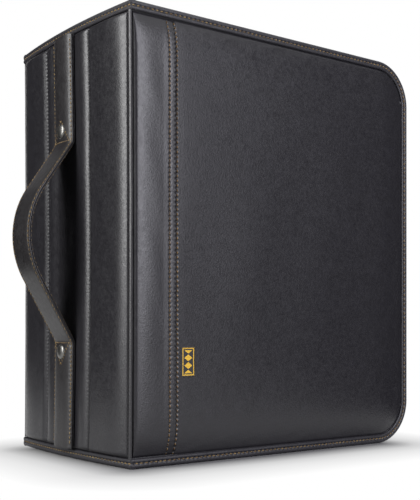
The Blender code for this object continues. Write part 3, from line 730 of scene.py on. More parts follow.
def makeMainPanel(side):
    start = strip["end"] - panel["under"]
    r = radius - case["hem"]
    flatPart = np.concatenate([start + 0.3 * np.arange(6), np.linspace(start + 2.4, width - radius, 106)])
    turn = np.linspace(0, math.pi / 2, 26)[1:]
    x = np.concatenate([flatPart, width - radius + r * np.sin(turn)])
    crowd = math.pi / 2 * 0.92              # the rows lie closer towards the top and the bottom
    tau = np.sin(np.linspace(-1, 1, 200) * crowd) / math.sin(crowd)
    pastCorner = np.maximum(x - (width - radius), 0)
    half = (height / 2 - radius) + np.sqrt(np.maximum(r ** 2 - pastCorner ** 2, 0))
    gridX = np.repeat(x[:, None], len(tau), axis=1)
    gridZ = height / 2 + half[:, None] * tau
    tucked = 1 - smooth(gridX, start, start + panel["under"])
    up = panelHeight(gridX, gridZ) - panel["tuck"] * tucked
    outer = stack(gridX, depthAt(side, -up), gridZ)
    inner = stack(gridX, depthAt(side, case["skinBack"]), gridZ)
    part = sheet(outer, inner, side == "back")
    piece = makePiece(side + "_main_panel", [part], blackLeatherette, side + "_cover")
    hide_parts(side + "_cover_panel")


# Gusset walls, zip tapes and coils

gusset = {
    "start": 12.0, "inset": 7.6, "wall": 1.5, "window": 11.0, "seam": 2.2, "pitch": 3.2,
    "sag": 0.65, "wave": 0.125, "turnedEdge": 0.35, "round": 0.7,
}
zipForm = {
    "start": 14.0, "inset": 9.4, "tape": 0.8, "width": 14.8, "gap": 2.2,
    "coilStart": 20.6, "coilInset": 8.6, "pitch": 1.6, "reach": 2.5, "wire": 1.15,
}
seamThread = {"length": 2.4, "width": 0.6}


def gussetInset(s, inward):
    # The wall sags a little between the binding and the zip, and its cut edge is turned under.
    span = middle - gusset["window"]
    share = np.clip((inward - 3) / (span - 3), 0, 1)
    loose = 4 * share * (1 - share)         # 0 at the binding and at the edge, 1 between
    sag = gusset["sag"] * np.sin(math.pi * share)
    sag = sag + gusset["wave"] * softWaves(s * 0.7, inward, 34, 9) * loose
    return gusset["inset"] + sag + gusset["turnedEdge"] * bump(inward, span - gusset["seam"], 1.0)


def makeGusset(side):
    start = gusset["start"]
    length = edgeLength(start)
    s = np.linspace(0, length, 420)
    span = middle - gusset["window"]
    inward = np.concatenate([np.linspace(3.6, span - 5, 26), np.linspace(span - 4.4, span, 12)])
    gridS, gridIn = np.meshgrid(s, inward, indexing="ij")
    inset = gussetInset(gridS, gridIn)
    past = np.maximum(gridIn - (span - gusset["round"]), 0) / gusset["round"]
    edge = np.sqrt(np.clip(1 - past ** 2, 0, 1))
    outer = onEdge(gridS, start, inset + 0.6 * (1 - edge), depthAt(side, gridIn))
    inner = onEdge(gridS, start, inset + gusset["wall"] - 0.3 * (1 - edge), depthAt(side, gridIn))
    part = sheet(outer, inner, side == "front")
    piece = makePiece(side + "_gusset_wall", [part], blackLeatherette, side + "_cover")
    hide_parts(side + "_gusset")
    centres = np.arange(2, length - 2, gusset["pitch"])
    seamIn = span - gusset["seam"]
    inset = gussetInset(centres, seamIn + 0 * centres) - 0.05

    def path(at):
        return onEdge(at, start, inset, depthAt(side, seamIn))

    return [sew(path, centres, outwardAt(centres, start), seamThread, 0.05)]


def makeZipHalf(side):
    start = zipForm["start"]
    length = edgeLength(start)
    s = np.linspace(0, length, 380)
    end = middle - zipForm["gap"]
    inward = np.linspace(end - zipForm["width"], end, 14)
    gridS, gridIn = np.meshgrid(s, inward, indexing="ij")
    cord = 0.18 * bump(gridIn, end - 0.6, 0.7)              # corded edge beside the coil
    outer = onEdge(gridS, start, zipForm["inset"] - cord, depthAt(side, gridIn))
    inner = onEdge(gridS, start, zipForm["inset"] + zipForm["tape"], depthAt(side, gridIn))
    part = sheet(outer, inner, side == "front")
    tape = makePiece(side + "_tape", [part], zipTapeCloth, side + "_cover")
    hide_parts(side + "_zip_tape")
    start = zipForm["coilStart"]
    length = edgeLength(start)
    shift = 0 if side == "front" else zipForm["pitch"] / 2
    centres = np.arange(0.6, length - 0.8, zipForm["pitch"]) + shift
    reach = zipForm["reach"]
    place = onEdge(centres, start, zipForm["coilInset"], depthAt(side, middle - 0.25 - reach / 2))
    across = stack(0 * centres, sides[side]["turn"] + 0 * centres, 0 * centres)
    loop = {"length": reach, "width": zipForm["wire"]}
    turns = stitchRow(place, across, outwardAt(centres, start), loop, 0.12)
    piece = makePiece(side + "_coil", [turns], coil, side + "_cover")
    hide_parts(side + "_zip_coil")


# Spine panels, welts and rims

spine = {
    "sideStart": 3.9, "sideEnd": 51.3, "centreStart": 51.5,
    "sidePad": 1.5, "cornerRoll": 1.25, "rollRun": 7.2,
    "ditchRun": {"front": 2.0, "back": 7.0},        # the front pad stands steeply over its ditch
    "ridge": 3.6, "ridgeRun": 6.0, "ridgeFade": (4.0, 20.0), "fall": 0.7,
    "endRun": 5.0,
    "drawn": (4.0, 30.0), "drawnFrom": 0.35,        # the corners draw in less than the middle
    "skinOut": 1.2, "skinIn": 3.6, "pitch": 3.05,
    "pucker": {"corner": 0.25, "ditch": 0.45, "centre": 0.22},
}
ditchThread = {"length": 2.3, "width": 0.65}


def bow(y):                     # how far the spine's outer line stands out at depth y
    return spineForm["bow"] * (1 - (y / middle - 1) ** 2)


def spineSurface(y, z, padding):
    full = rise(fromRim(z) / spine["endRun"])
    drawnIn = atLeast(spine["drawnFrom"], smooth(np.minimum(y, depth - y), *spine["drawn"]))
    return spine["skinOut"] * (1 - full) + waist(z) * drawnIn - padding * full - bow(y)


def puckers(y, z, line, reach):             # scallops that the stitches of a ditch pull in the padding
    return bump(y, line, reach) * (0.5 + 0.5 * np.cos(2 * math.pi * z / spine["pitch"]))


def sidePadding(y, z):
    near = np.minimum(y, depth - y)
    across = 2 * (near - spine["sideStart"]) / (spine["sideEnd"] - spine["sideStart"]) - 1
    run = np.where(y < middle, spine["ditchRun"]["front"], spine["ditchRun"]["back"])
    pad = spine["sidePad"] * smooth((spine["sideEnd"] - near) / run, 0, 1)
    roll = np.tanh((near - spine["sideStart"]) / spine["rollRun"])
    pad = (pad + spine["cornerRoll"] * (1 - smooth(near, 25, 50))) * roll
    soft = 0.2 * softWaves(near, z * 0.5, 30, 17) * (1 - across ** 2)
    corner = spine["pucker"]["corner"] * puckers(near, z, spine["sideStart"] + 0.3, 0.5)
    ditch = spine["pucker"]["ditch"] * puckers(near, z, spine["sideEnd"] - 0.7, 1.0)
    return pad + soft - 0.5 * bump(near, spine["sideStart"], 0.4) - corner - ditch


def centrePadding(y, z):
    fromDitch = middle - spine["centreStart"] - np.abs(y - middle)
    climb = 1 - np.exp(-fromDitch / spine["ridgeRun"])
    fadeFrom, fadeTo = spine["ridgeFade"]
    share = np.clip((fromDitch - fadeFrom) / (fadeTo - fadeFrom), 0, 1)
    fall = 1 - spine["fall"] * share * (1 + 0.5 * (1 - share) * (2 * share - 1))
    soft = 0.15 * softWaves(y, z * 0.5, 28, 19)
    dip = spine["pucker"]["centre"] * puckers(fromDitch, z, 0.6, 1.1)
    return spine["ridge"] * climb * fall - 0.5 * bump(fromDitch, 0, 0.8) + soft - dip


def makeSpinePanel(name, low, high, padding, node):
    share = (1 - np.cos(np.linspace(0, math.pi, 46))) / 2
    y = low + (high - low) * share
    z = np.linspace(case["hem"], height - case["hem"], 560)
    gridY, gridZ = np.meshgrid(y, z, indexing="ij")
    outer = stack(spineSurface(gridY, gridZ, padding(gridY, gridZ)), gridY, gridZ)
    inner = stack(spine["skinIn"] - bow(gridY), gridY, gridZ)
    piece = makePiece(name, [slab(outer[::-1], inner[::-1])], blackLeatherette, "spine")
    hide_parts(node)


welt = {"x": 0.38, "y": 1.95, "halfWidth": 1.5, "halfThick": 0.42, "facing": 24.0}


def makeWelt(side):
    # The rolled seam at a spine corner: a flattened fold that follows the waist, its broad face
    # turned between the spine and the cover.
    z = np.linspace(panelInset - 1, height - panelInset + 1, 300)
    angle = np.arange(16) * 2 * math.pi / 16
    facing = math.radians(welt["facing"])
    along = welt["halfWidth"] * np.cos(angle)
    proud = (welt["halfThick"] + 0.05 * softWaves(z, 0 * z, 40, 31))[:, None] * np.sin(angle)
    centreX = welt["x"] + 0.35 * waist(z) + 0.12 * softWaves(z, 0 * z, 60, 33)
    x = centreX[:, None] - along * math.sin(facing) - proud * math.cos(facing)
    y = depthAt(side, welt["y"] + along * math.cos(facing) - proud * math.sin(facing))
    rings = stack(x, y, z[:, None] + 0 * x)
    part = tube(rings if side == "front" else rings[:, ::-1])
    piece = makePiece(side + "_welt", [part], blackLeatherette, "spine")
    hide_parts(side + "_corner_welt")


def makeSpineRim(name, node, atTop):
    y = np.linspace(0.25, depth - 0.25, 300)
    profile, sign = tapeSection(spineRimDepth)
    holes = rimHoles(y, profile[:, 0], sign)
    deep = profile[:, 1] + sign * (profile[:, 2] * binding["seamDip"] + holes * binding["holeDepth"])
    inset = profile[:, 0] + 0 * deep
    z = height - inset if atTop else inset
    rings = stack(deep - bow(y)[:, None], y[:, None] + 0 * deep, z)
    part = tube(rings[:, ::-1] if atTop else rings)
    shades = holes[:, ::-1] if atTop else holes
    piece = makePiece(name, [part], bindingLeatherette, "spine", shades.ravel())
    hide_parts(node)
    middles = np.arange(binding["pitch"] / 2, depth - 1, binding["pitch"])
    seamZ = height - binding["seamInset"] if atTop else binding["seamInset"]
    seam = binding["dome"] - binding["seamDip"]
    rows = []
    for deepAt, way in ((-seam, -1.0), (spineRimDepth + seam, 1.0)):
        def path(at):
            return stack(deepAt - bow(at), at, seamZ + 0 * at)

        out = stack(way + 0 * middles, 0 * middles, 0 * middles)
        rows.append(sew(path, middles, out, rimThread, 0.06))
    return rows


def ditchStitches():
    rows = []
    z = np.arange(3, int(height / spine["pitch"]) - 3) * spine["pitch"]
    upward = stack(0 * z, 0 * z, 1 + 0 * z)
    outward = stack(-1 + 0 * z, 0 * z, 0 * z)
    ditches = ((spine["centreStart"] + 0.1, centrePadding), (spine["sideStart"] + 0.3, sidePadding))
    for line, padding in ditches:
        for y in (np.full_like(z, line), np.full_like(z, depth - line)):
            place = stack(spineSurface(y, z, padding(y, z)), y, z)
            rows.append(stitchRow(place, upward, outward, ditchThread, 0.1))
    return rows


# Handle: strap leather over a backing, on one line of straights and arcs

handle = {
    "width": 28.0, "leather": 1.6, "backing": 1.0, "gap": 0.05, "seat": 1.3,
    "low": 89.0, "high": 240.5, "apex": 172.0, "peak": 55.0,
    "bend": 65.0, "anchorBend": 9.0, "step": 0.8,
    "seamIn": 1.3, "pitch": 3.4, "round": 0.7, "pillow": 0.3, "anchorPillow": 2.2,
    "rivets": {"upper": 249.8, "lower": 81.2}, "rivetRadius": 5.6, "rivetDome": 2.1,
    "shankRadius": 2.0, "shankLength": 3.4,
    "triangleTip": 18.2, "triangleIn": 1.2, "trianglePitch": 2.5,
}
handleOuter = handle["backing"] + handle["gap"] + handle["leather"]
strapThread = {"length": 2.7, "width": 0.7}


def strapSeat(z):               # where the strap lies on the centre panel, out from the spine's plane
    return spineForm["bow"] - spineForm["waist"] * (1 - (2 * z / height - 1) ** 2) + handle["seat"]


def bendAt(before, corner, after, bendRadius, steps):
    # An arc of bendRadius that touches both straight runs which meet at corner.
    back = unit(before - corner)
    ahead = unit(after - corner)
    half = math.acos(float(np.clip(back @ ahead, -1, 1))) / 2
    centre = corner + unit(back + ahead) * (bendRadius / math.sin(half))
    first = corner + back * (bendRadius / math.tan(half)) - centre
    last = corner + ahead * (bendRadius / math.tan(half)) - centre
    sweep = math.pi - 2 * half
    share = np.linspace(0, 1, steps)[:, None]
    return centre + (first * np.sin((1 - share) * sweep) + last * np.sin(share * sweep)) / math.sin(sweep)


def strapLine():
    # The strap's inner line as (z, out): along the spine, out over the grip and back to the spine.
    lowRun = np.linspace(panelInset + 0.3, handle["low"] - handle["anchorBend"], 30)
    highRun = np.linspace(handle["high"] + handle["anchorBend"], height - panelInset - 0.3, 30)
    lowRun = np.stack([lowRun, strapSeat(lowRun)], axis=-1)
    highRun = np.stack([highRun, strapSeat(highRun)], axis=-1)
    low = np.array([handle["low"], strapSeat(handle["low"])])
    high = np.array([handle["high"], strapSeat(handle["high"])])
    apex = np.array([handle["apex"], handle["peak"] - handleOuter])
    bends = [
        bendAt(lowRun[-1], low, apex, handle["anchorBend"], 14),
        bendAt(low, apex, high, handle["bend"] - handleOuter, 60),
        bendAt(apex, high, highRun[0], handle["anchorBend"], 14),
    ]
    return np.concatenate([lowRun, *bends, highRun])


def evenly(line, step):         # the same line with points step apart
    length = np.concatenate([[0], np.cumsum(np.linalg.norm(np.diff(line, axis=0), axis=1))])
    at = np.linspace(0, length[-1], int(length[-1] / step) + 1)
    return np.stack([np.interp(at, length, line[:, i]) for i in range(2)], axis=-1), at


def strapPoints():              # the strap's inner line at even steps, and the distances along it
    return evenly(strapLine(), handle["step"])


def lineNormals(line):          # direction along the line and away from the spine
    along = unit(np.gradient(line, axis=0))
    return along, np.stack([-along[:, 1], along[:, 0]], axis=-1)


def strapSection(low, high, halfWidth, rounding):
    # A flat strip with rounded edges as (y from the middle, height over the inner line).
    mid = (low + high) / 2
    thick = (high - low) / 2
    angle = np.linspace(-math.pi / 2, math.pi / 2, 7)
    cap = halfWidth - rounding + rounding * np.cos(angle)
    right = np.stack([cap, mid + thick * np.sin(angle)], axis=-1)
    across = np.linspace(halfWidth - rounding, -halfWidth + rounding, 31)[1:-1]
    top = np.stack([across, high + 0 * across], axis=-1)
    left = np.stack([-cap[::-1], mid + thick * np.sin(angle[::-1])], axis=-1)
    bottom = np.stack([across[::-1], low + 0 * across], axis=-1)
    return np.concatenate([right, top, left, bottom])


def strapSwell(across, z):
    # How far the leather's face swells: much where it is sewn down over padding, little on the grip.
    overLow = smooth(z, handle["low"] - 5, handle["low"] + 8)
    free = overLow * (1 - smooth(z, handle["high"] - 8, handle["high"] + 5))
    tall = handle["anchorPillow"] + (handle["pillow"] - handle["anchorPillow"]) * free
    return tall * (1 - np.abs(across / (handle["width"] / 2)) ** 3)


def makeStrapLayer(name, low, high, halfWidth, seams, node):
    # seams is 1 where the layer shows its seams on the outer face, and -1 on the inner face.
    line, at = strapPoints()
    out = lineNormals(line)[1]
    section = strapSection(low, high, halfWidth, handle["round"])
    face = section[:, 1] > high - 0.01 if seams > 0 else section[:, 1] < low + 0.01
    seamY = halfWidth - handle["seamIn"]
    onSeam = bump(np.abs(section[:, 0]), seamY, 0.9) * face
    holes = seamHoles(at, handle["pitch"], 0.5)[:, None] * bump(np.abs(section[:, 0]), seamY, 0.5) * face
    dome = strapSwell(section[:, 0], line[:, 0][:, None]) * face * (seams > 0)
    lift = section[:, 1] + dome - seams * (0.35 * onSeam + 0.6 * holes)
    z = line[:, 0][:, None] + out[:, 0][:, None] * lift
    x = -(line[:, 1][:, None] + out[:, 1][:, None] * lift)
    y = middle + section[:, 0] + 0 * x
    rings = stack(x, y, z)
    piece = makePiece(name, [tube(rings)], strapLeatherette, "spine", holes.ravel())
    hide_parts(node)


def onStrap(at, across, lift, swell=False):
    # Points on the strap at a distance along it and across it, with its directions there.
    line, length = strapPoints()
    along, out = lineNormals(line)

    def read(values):
        return np.interp(at, length, values)

    lift = lift + (strapSwell(across, read(line[:, 0])) if swell else 0)
    z = read(line[:, 0]) + read(out[:, 0]) * lift
    x = -(read(line[:, 1]) + read(out[:, 1]) * lift)
    place = stack(x, middle + across, z)
    direction = stack(-read(along[:, 1]), 0 * z, read(along[:, 0]))
    outward = stack(-read(out[:, 1]), 0 * z, read(out[:, 0]))
    return place, direction, outward


def strapDistance(z):           # distance along the strap's line where it is at height z
    line, length = strapPoints()
    return float(np.interp(z, line[:, 0], length))


def strapStitches():
    rows = []
    at = np.arange(handle["pitch"] * 1.5, strapPoints()[1][-1] - 2, handle["pitch"])
    seamY = handle["width"] / 2 - handle["seamIn"]
    free = at[(at > strapDistance(handle["low"] + 3)) & (at < strapDistance(handle["high"] - 3))]
    for sign in (-1, 1):
        place, direction, outward = onStrap(at, sign * seamY, handleOuter - 0.25, swell=True)
        rows.append(stitchRow(place, direction, outward, strapThread, 0.06))
        place, direction, outward = onStrap(free, sign * seamY, -0.02)
        rows.append(stitchRow(place, direction, -outward, strapThread, 0.06))
    for bendZ, way in ((handle["high"], 1), (handle["low"], -1)):
        base = strapDistance(bendZ - way * 0.2)
        tip = base + way * handle["triangleTip"]
        wide = seamY - handle["triangleIn"]
        corners = [(base, -wide), (base, wide), (tip, 0.0), (base, -wide)]
        for (fromAt, fromY), (toAt, toY) in zip(corners, corners[1:]):
            run = math.hypot(toAt - fromAt, toY - fromY)
            count = max(int(run / handle["trianglePitch"]), 2)
            share = (np.arange(count) + 0.5) / count
            place, direction, outward = onStrap(
                fromAt + (toAt - fromAt) * share, fromY + (toY - fromY) * share, handleOuter, swell=True)
            side = np.cross(outward, direction)
            heading = direction * (toAt - fromAt) + side * -(toY - fromY)
            thread = {"length": run / count * 0.86, "width": strapThread["width"]}
            rows.append(stitchRow(place, heading, outward, thread))
    return rows


def makeRivets():
    for place, z in handle["rivets"].items():
        seat = strapSeat(z) + handleOuter + handle["anchorPillow"] - 0.3
        r, dome = handle["rivetRadius"], handle["rivetDome"]
        angle = np.linspace(0, math.pi / 2, 12)
        crown = np.stack([r * np.sin(angle), seat + 0.35 + dome * np.cos(angle) * 0.85], axis=-1)
        shank, foot = handle["shankRadius"], seat - handle["shankLength"]
        under = [(r - 0.1, seat), (shank, seat - 0.05), (shank, foot), (0.0, foot)]
        profile = np.concatenate([crown, under])
        centre = np.array([0.0, middle, z])
        piece = makePiece(place + "_rivet", [turned(profile, centre, (-1, 0, 0), 56)], nickel, "spine")
        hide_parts("handle_rivet_" + place)


# Woven tab on the front cover

tab = {
    "left": 40.5, "low": 63.7, "width": 12.5, "height": 22.3, "thick": 0.55, "rib": 0.55,
    "stitches": 6, "pitch": 2.05, "first": 1.1, "seamIn": 0.9,
}
tabThread = {"length": 1.8, "width": 0.5}


def wovenTab(name):
    # Damask-woven polyester tab: dark ground, an ochre border and a column of lozenges.
    material, tree = newMaterial(name)
    uv = addNode(tree, "ShaderNodeUVMap", {"uv_map": "tab"}).outputs["UV"]
    split = addNode(tree, "ShaderNodeSeparateXYZ", links={"Vector": uv})
    across, up = split.outputs["X"], split.outputs["Y"]

    def work(operation, *values):
        return calc(tree, operation, *values)

    offX = work("ABSOLUTE", work("SUBTRACT", across, 0.5))
    offY = work("ABSOLUTE", work("SUBTRACT", up, 0.5))
    longer = (tab["height"] - tab["width"]) / 2
    overEnds = work("SUBTRACT", work("MULTIPLY", offY, tab["height"]), longer)
    edge = work("MAXIMUM", work("MULTIPLY", offX, tab["width"]), overEnds)
    border = work("LESS_THAN", work("ABSOLUTE", work("SUBTRACT", edge, tab["width"] / 2 - 1.5)), 0.35)
    cell = work("ABSOLUTE", work("SUBTRACT", work("FRACT", work("MULTIPLY", up, 4.0)), 0.5))
    lozenge = work("LESS_THAN", work("ADD", work("MULTIPLY", offX, 1.55), cell), 0.44)
    inside = work("LESS_THAN", offY, 0.375)
    motif = work("MAXIMUM", border, work("MULTIPLY", lozenge, inside))
    ribs = addNode(tree, "ShaderNodeTexWave", {
        "bands_direction": "Y", "Scale": tab["height"] / tab["rib"] / unitThreads, "Distortion": 0.2,
    }, {"Vector": uv}).outputs["Fac"]
    shade = colourBetween(tree, ribs, "08080a", "131316")
    ochre = colourBetween(tree, ribs, "c79a1c", "f0c43a")
    colour = addNode(tree, "ShaderNodeMix", {"data_type": "RGBA"}, {0: motif, 6: shade, 7: ochre})
    finishSurface(tree, {"Roughness": 0.6, "Sheen Weight": 0.2, "Sheen Roughness": 0.4}, {
        "Base Color": colour.outputs[2], "Normal": relief(tree, ribs, 0.4, 0.0001),
    })
    return material


def makeTab():
    u = np.linspace(0, 1, 26)
    v = np.linspace(0, 1, 44)
    gridU, gridV = np.meshgrid(u, v, indexing="ij")
    x = tab["left"] + gridU * tab["width"]
    z = tab["low"] + gridV * tab["height"]
    edge = np.minimum(
        np.minimum(gridU, 1 - gridU) * tab["width"], np.minimum(gridV, 1 - gridV) * tab["height"]
    )
    lift = tab["thick"] * atLeast(0.35, np.sqrt(np.clip(edge / 0.6, 0, 1))) + 0.08 * softWaves(x, z, 8, 41)
    ground = panelHeight(x, z) - 0.05
    outer = stack(x, -(ground + lift), z)
    inner = stack(x, -ground, z)
    piece = makePiece("woven_tab", [slab(outer, inner)], wovenTab("damaskTab"), "front_cover")
    uvs = np.concatenate([np.stack([gridU.ravel(), gridV.ravel()], axis=-1)] * 2)
    layer = piece.data.uv_layers.new(name="tab")
    corners = np.empty(len(piece.data.loops), dtype=np.int32)
    piece.data.loops.foreach_get("vertex_index", corners)
    layer.data.foreach_set("uv", uvs[corners].ravel())
    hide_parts("label_tab")
    rows = []
    x = tab["left"] + np.arange(tab["stitches"]) * tab["pitch"] + tab["first"]
    alongX = stack(1 + 0 * x, 0 * x, 0 * x)
    outward = stack(0 * x, -1 + 0 * x, 0 * x)
    for z in (tab["low"] + tab["height"] - tab["seamIn"], tab["low"] + tab["seamIn"]):
        y = -(panelHeight(x, z + 0 * x) + tab["thick"] + 0.02)
        rows.append(stitchRow(stack(x, y, z + 0 * x), alongX, outward, tabThread))
    return rows


# Film sleeves on the first and last page

page = {
    "start": 15.0, "margin": 3.0, "gap": 2.0, "film": 0.3, "notch": 16.0,
}


def clearFilm(name):
    # Cast polypropylene film, drawn as the black felt that shows through it: glossy, with faint ripples.
    material, tree = newMaterial(name)
    ripple = noise(tree, objectPlace(tree), 40.0, 2.0)
    finishSurface(tree, {"Roughness": 0.14, "Coat Weight": 0.6, "Coat Roughness": 0.06}, {
        "Base Color": colourBetween(tree, ripple, "2a2a2d", "35353a"),
        "Normal": relief(tree, ripple, 0.35, 0.0015),
    })
    return material


def sleeveFilm(lowX, highX, lowZ, highZ, y, way):
    # A pocket of film: a rectangle with a half-moon thumb notch in the middle of its upper edge.
    x = np.linspace(lowX, highX, 61)
    share = np.linspace(0, 1, 14)
    centre = (lowX + highX) / 2
    notch = np.sqrt(np.maximum(page["notch"] ** 2 - (x - centre) ** 2, 0)) * 0.8
    gridX = np.repeat(x[:, None], len(share), axis=1)
    gridZ = lowZ + (highZ - notch - lowZ)[:, None] * share
    bulge = 0.5 * np.sin(math.pi * (gridX - lowX) / (highX - lowX)) * np.sin(math.pi * share)
    outer = stack(gridX, y - way * (page["film"] + bulge), gridZ)
    inner = stack(gridX, y + 0 * gridX, gridZ)
    return sheet(outer, inner, way < 0)


def makeSleeves():
    pagesLow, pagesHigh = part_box("sleeve_pages")
    low = np.array(pagesLow) * 1000 - caseCorner
    high = np.array(pagesHigh) * 1000 - caseCorner
    startX = page["start"] + page["margin"]
    midX = (startX + high[0] - page["margin"]) / 2
    midZ = (low[2] + high[2]) / 2
    halfGap = page["gap"] / 2
    columns = ((startX, midX - halfGap), (midX + halfGap, high[0] - page["margin"]))
    levels = ((low[2] + page["margin"], midZ - halfGap), (midZ + halfGap, high[2] - page["margin"]))
    film = clearFilm("castFilm")
    for side, y, way in (("first", low[1] - 0.3, 1), ("last", high[1] + 0.3, -1)):
        parts = []
        for lowX, highX in columns:
            for lowZ, highZ in levels:
                parts.append(sleeveFilm(lowX, highX, lowZ, highZ, y, way))
        piece = makePiece(side + "_page_sleeves", parts, film, "spine")


# Build everything

goldStitches = {"front": [], "back": [], "spine": []}
for side in ("front", "back"):
    coverRows, spineRows = makeBinding(side)
    goldStitches[side] += coverRows
    goldStitches["spine"] += spineRows
    makePiece(side + "_twin_stitching", makeHingeStrip(side), tanThread, side + "_cover")
    makeMainPanel(side)
    darkSeams = makeGusset(side)
    makeZipHalf(side)
    makePiece(side + "_zip_seam", darkSeams, blackThread, side + "_cover")
    print(side, "cover made")
goldStitches["front"] += makeTab()
for side in ("front", "back"):
    makePiece(side + "_ochre_stitching", goldStitches[side], goldThread, side + "_cover")

sideStart, sideEnd, centreStart = spine["sideStart"], spine["sideEnd"], spine["centreStart"]
makeSpinePanel("spine_pad_front", sideStart, sideEnd, sidePadding, "spine_side_panel_front")
makeSpinePanel("spine_pad_back", depth - sideEnd, depth - sideStart, sidePadding, "spine_side_panel_back")
makeSpinePanel("spine_pad_centre", centreStart, depth - centreStart, centrePadding, "spine_centre_panel")
makeWelt("front")
makeWelt("back")
goldStitches["spine"] += makeSpineRim("spine_edge_top", "spine_rim_top", True)
goldStitches["spine"] += makeSpineRim("spine_edge_bottom", "spine_rim_bottom", False)
makePiece("spine_black_stitching", ditchStitches(), blackThread, "spine")
print("spine made")

halfStrap = handle["width"] / 2
leatherLow = handle["backing"] + handle["gap"]
makeStrapLayer("strap_leather", leatherLow, handleOuter, halfStrap, 1, "handle_strap")
makeStrapLayer("strap_backing", 0.0, handle["backing"], halfStrap - 0.3, -1, "handle_backing")
goldStitches["spine"] += strapStitches()
makePiece("spine_ochre_stitching", goldStitches["spine"], goldThread, "spine")
makeRivets()
print("handle made")

makeSleeves()
nodeLooks = {
    "front_board": board, "back_board": board, "spine_board": board,
    "front_lining": liningCloth, "back_lining": liningCloth, "spine_lining": liningCloth,
    "page_hinge_strip": liningCloth, "sleeve_pages": liningCloth,
    "rivet_burr_upper": nickel, "rivet_burr_lower": nickel,
    "zip_slider": gunmetal, "zip_puller": gunmetal,
}
for node, look in nodeLooks.items():
    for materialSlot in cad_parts[node].material_slots:
        materialSlot.material = look


# Floor, background and lamps

stageSettings = {
    "floor": "8a8a8a",
    "floorSize": 8.0,
    "shadowInsetRight": 4.0,           # the grey paper, with real shadow and painted shadow, starts this far inside the base at its right end,
    "shadowInsetBack": 30.0,          # and this far inside at its back, in millimetres
    "fadeFrom": 0.0,            # metres past that rectangle over which the paper turns to plain white
    "fadeTo": 0.088,
    "fadeSteps": ((0.05, 0.0), (0.36, 0.58), (0.55, 0.75)),         # painted shadow: the white's share climbs fast near the case, then slowly
    "worldFill": 0.2,           # how strongly the white world lights the case
}


def shownDirectly(tree):        # 1 where a surface is seen or mirrored, 0 where it lights others
    rays = addNode(tree, "ShaderNodeLightPath").outputs
    seen = calc(tree, "MAXIMUM", rays["Is Camera Ray"], rays["Is Glossy Ray"])
    return calc(tree, "MAXIMUM", seen, rays["Is Transmission Ray"])


def makeFloor():
    size = stageSettings["floorSize"]
    mesh = bpy.data.meshes.new("floor")
    corners = [(-size, -size, 0), (size, -size, 0), (size, size, 0), (-size, size, 0)]
    mesh.from_pydata(corners, [], [(0, 1, 2, 3)])
    floor = bpy.data.objects.new("floor", mesh)
    bpy.context.collection.objects.link(floor)
    # Painted shadow round the base: the grey paper, with the real shadow the lamps cast on it, shows only
    # near the case and turns to plain white with distance from a rectangle under it, so the floor darkens
    # towards the base more than the lamps alone make it.
    material, tree = newMaterial("paperFloor")
    contact = width - radius - stageSettings["shadowInsetRight"]
    shaded = depth - stageSettings["shadowInsetBack"]
    centre = ((caseCorner[0] + contact / 2) / 1000, (caseCorner[1] + shaded / 2) / 1000, 0.0)
    half = (contact / 2000, shaded / 2000, 0.0)
    offset = objectPlace(tree)
    steps = (("SUBTRACT", centre), ("ABSOLUTE", None), ("SUBTRACT", half), ("MAXIMUM", None))
    for operation, taken in steps:
        settings = {"operation": operation, 1: taken} if taken else {"operation": operation}
        offset = addNode(tree, "ShaderNodeVectorMath", settings, {0: offset}).outputs[0]
    distance = addNode(tree, "ShaderNodeVectorMath", {"operation": "LENGTH"}, {0: offset})
    fade = addNode(tree, "ShaderNodeMapRange", {
        "From Min": stageSettings["fadeFrom"], "From Max": stageSettings["fadeTo"],
    }, {"Value": distance.outputs["Value"]})
    curve = addNode(tree, "ShaderNodeValToRGB", links={"Fac": fade.outputs[0]})
    for share, level in stageSettings["fadeSteps"]:
        curve.color_ramp.elements.new(share).color = (level, level, level, 1)
    factor = calc(tree, "MULTIPLY", curve.outputs[0], shownDirectly(tree))
    paper = addNode(tree, "ShaderNodeBsdfDiffuse", {"Color": linear(stageSettings["floor"])})
    white = addNode(tree, "ShaderNodeEmission", {"Strength": 1.0})
    mixed = addNode(tree, "ShaderNodeMixShader", links={
        0: factor, 1: paper.outputs[0], 2: white.outputs[0],
    })
    addNode(tree, "ShaderNodeOutputMaterial", links={"Surface": mixed.outputs[0]})
    mesh.materials.append(material)


def makeWorld():
    world = bpy.data.worlds.new("studio")
    world.use_nodes = True
    tree = world.node_tree
    tree.nodes.clear()
    strength = spreadOver(tree, shownDirectly(tree), stageSettings["worldFill"], 1.0)
    background = addNode(tree, "ShaderNodeBackground", {"Color": (1, 1, 1, 1)}, {"Strength": strength})
    addNode(tree, "ShaderNodeOutputWorld", links={"Surface": background.outputs[0]})
    bpy.context.scene.world = world


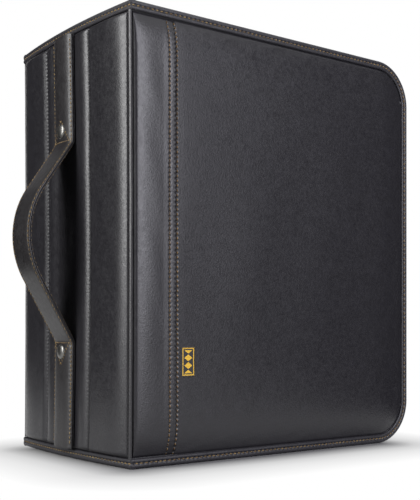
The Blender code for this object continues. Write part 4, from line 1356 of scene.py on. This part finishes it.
lamps = {
    "leftBox": {"place": (-1.35, 0.18, 0.75), "aim": (-0.12, 0.0, 0.3), "size": (0.6, 1.2), "power": 24},
    "frontBox": {"place": (0.14, -1.5, 0.7), "aim": (-0.03, 0.0, 0.3), "size": (0.91, 1.2), "power": 26,
                 "tint": (0.92, 0.91, 1.0)},
    "topBox": {"place": (0.3, 0.3, 1.6), "aim": (0.0, 0.0, 0.1), "size": (1.2, 1.2), "power": 5},
}
cards = {                       # out of the picture, they only show in the leather's sheen
    "cardBehind": {"place": (-0.38, 0.5, 0.45), "aim": (-0.12, 0.0, 0.3), "size": (0.65, 0.9)},
    "cardRight": {"place": (0.95, -0.6, 0.5), "aim": (0.05, -0.08, 0.3), "size": (1.3, 1.2),
                  "shade": "585858"},
    "cardTable": {"place": (0.81, -0.78, 0.001), "aim": (0.81, -0.78, -1.0), "size": (1.4, 1.17),
                  "shade": "3c3c3c"},
    "cardLeft": {"place": (-0.6, 0.5, 0.001), "aim": (-0.6, 0.5, -1.0), "size": (0.5, 0.6)},
    "cardCamera": {"place": (-0.89, -0.76, 0.6), "aim": (-0.12, -0.08, 0.3), "size": (1.25, 1.2)},
}


def aimAt(item, place, aim):
    way = np.array(aim) - np.array(place)
    yaw = math.atan2(way[1], way[0]) - math.pi / 2
    pitch = math.atan2(math.hypot(way[0], way[1]), -way[2])
    item.location = place
    item.rotation_euler = (pitch, 0, yaw)
    bpy.context.collection.objects.link(item)


def makeLamp(name, place, aim, size, power, tint=(1, 1, 1)):
    data = bpy.data.lights.new(name, "AREA")
    data.shape = "RECTANGLE"
    data.size, data.size_y = size
    data.energy = power
    data.color = tint
    aimAt(bpy.data.objects.new(name, data), place, aim)


def makeCard(name, place, aim, size, shade="0d0d0d"):
    mesh = bpy.data.meshes.new(name)
    x, y = size[0] / 2, size[1] / 2
    mesh.from_pydata([(-x, -y, 0), (x, -y, 0), (x, y, 0), (-x, y, 0)], [], [(0, 1, 2, 3)])
    card = bpy.data.objects.new(name, mesh)
    aimAt(card, place, aim)
    material, tree = newMaterial("mattCard")
    matt = addNode(tree, "ShaderNodeBsdfDiffuse", {"Color": linear(shade)})
    addNode(tree, "ShaderNodeOutputMaterial", links={"Surface": matt.outputs[0]})
    mesh.materials.append(material)
    card.visible_camera = False
    card.visible_shadow = False
    card.visible_diffuse = False


makeFloor()
makeWorld()
for lampName, lampSettings in lamps.items():
    makeLamp(lampName, **lampSettings)
for cardName, cardSettings in cards.items():
    makeCard(cardName, **cardSettings)
bpy.context.scene.view_settings.view_transform = "Standard"
print("stage made")
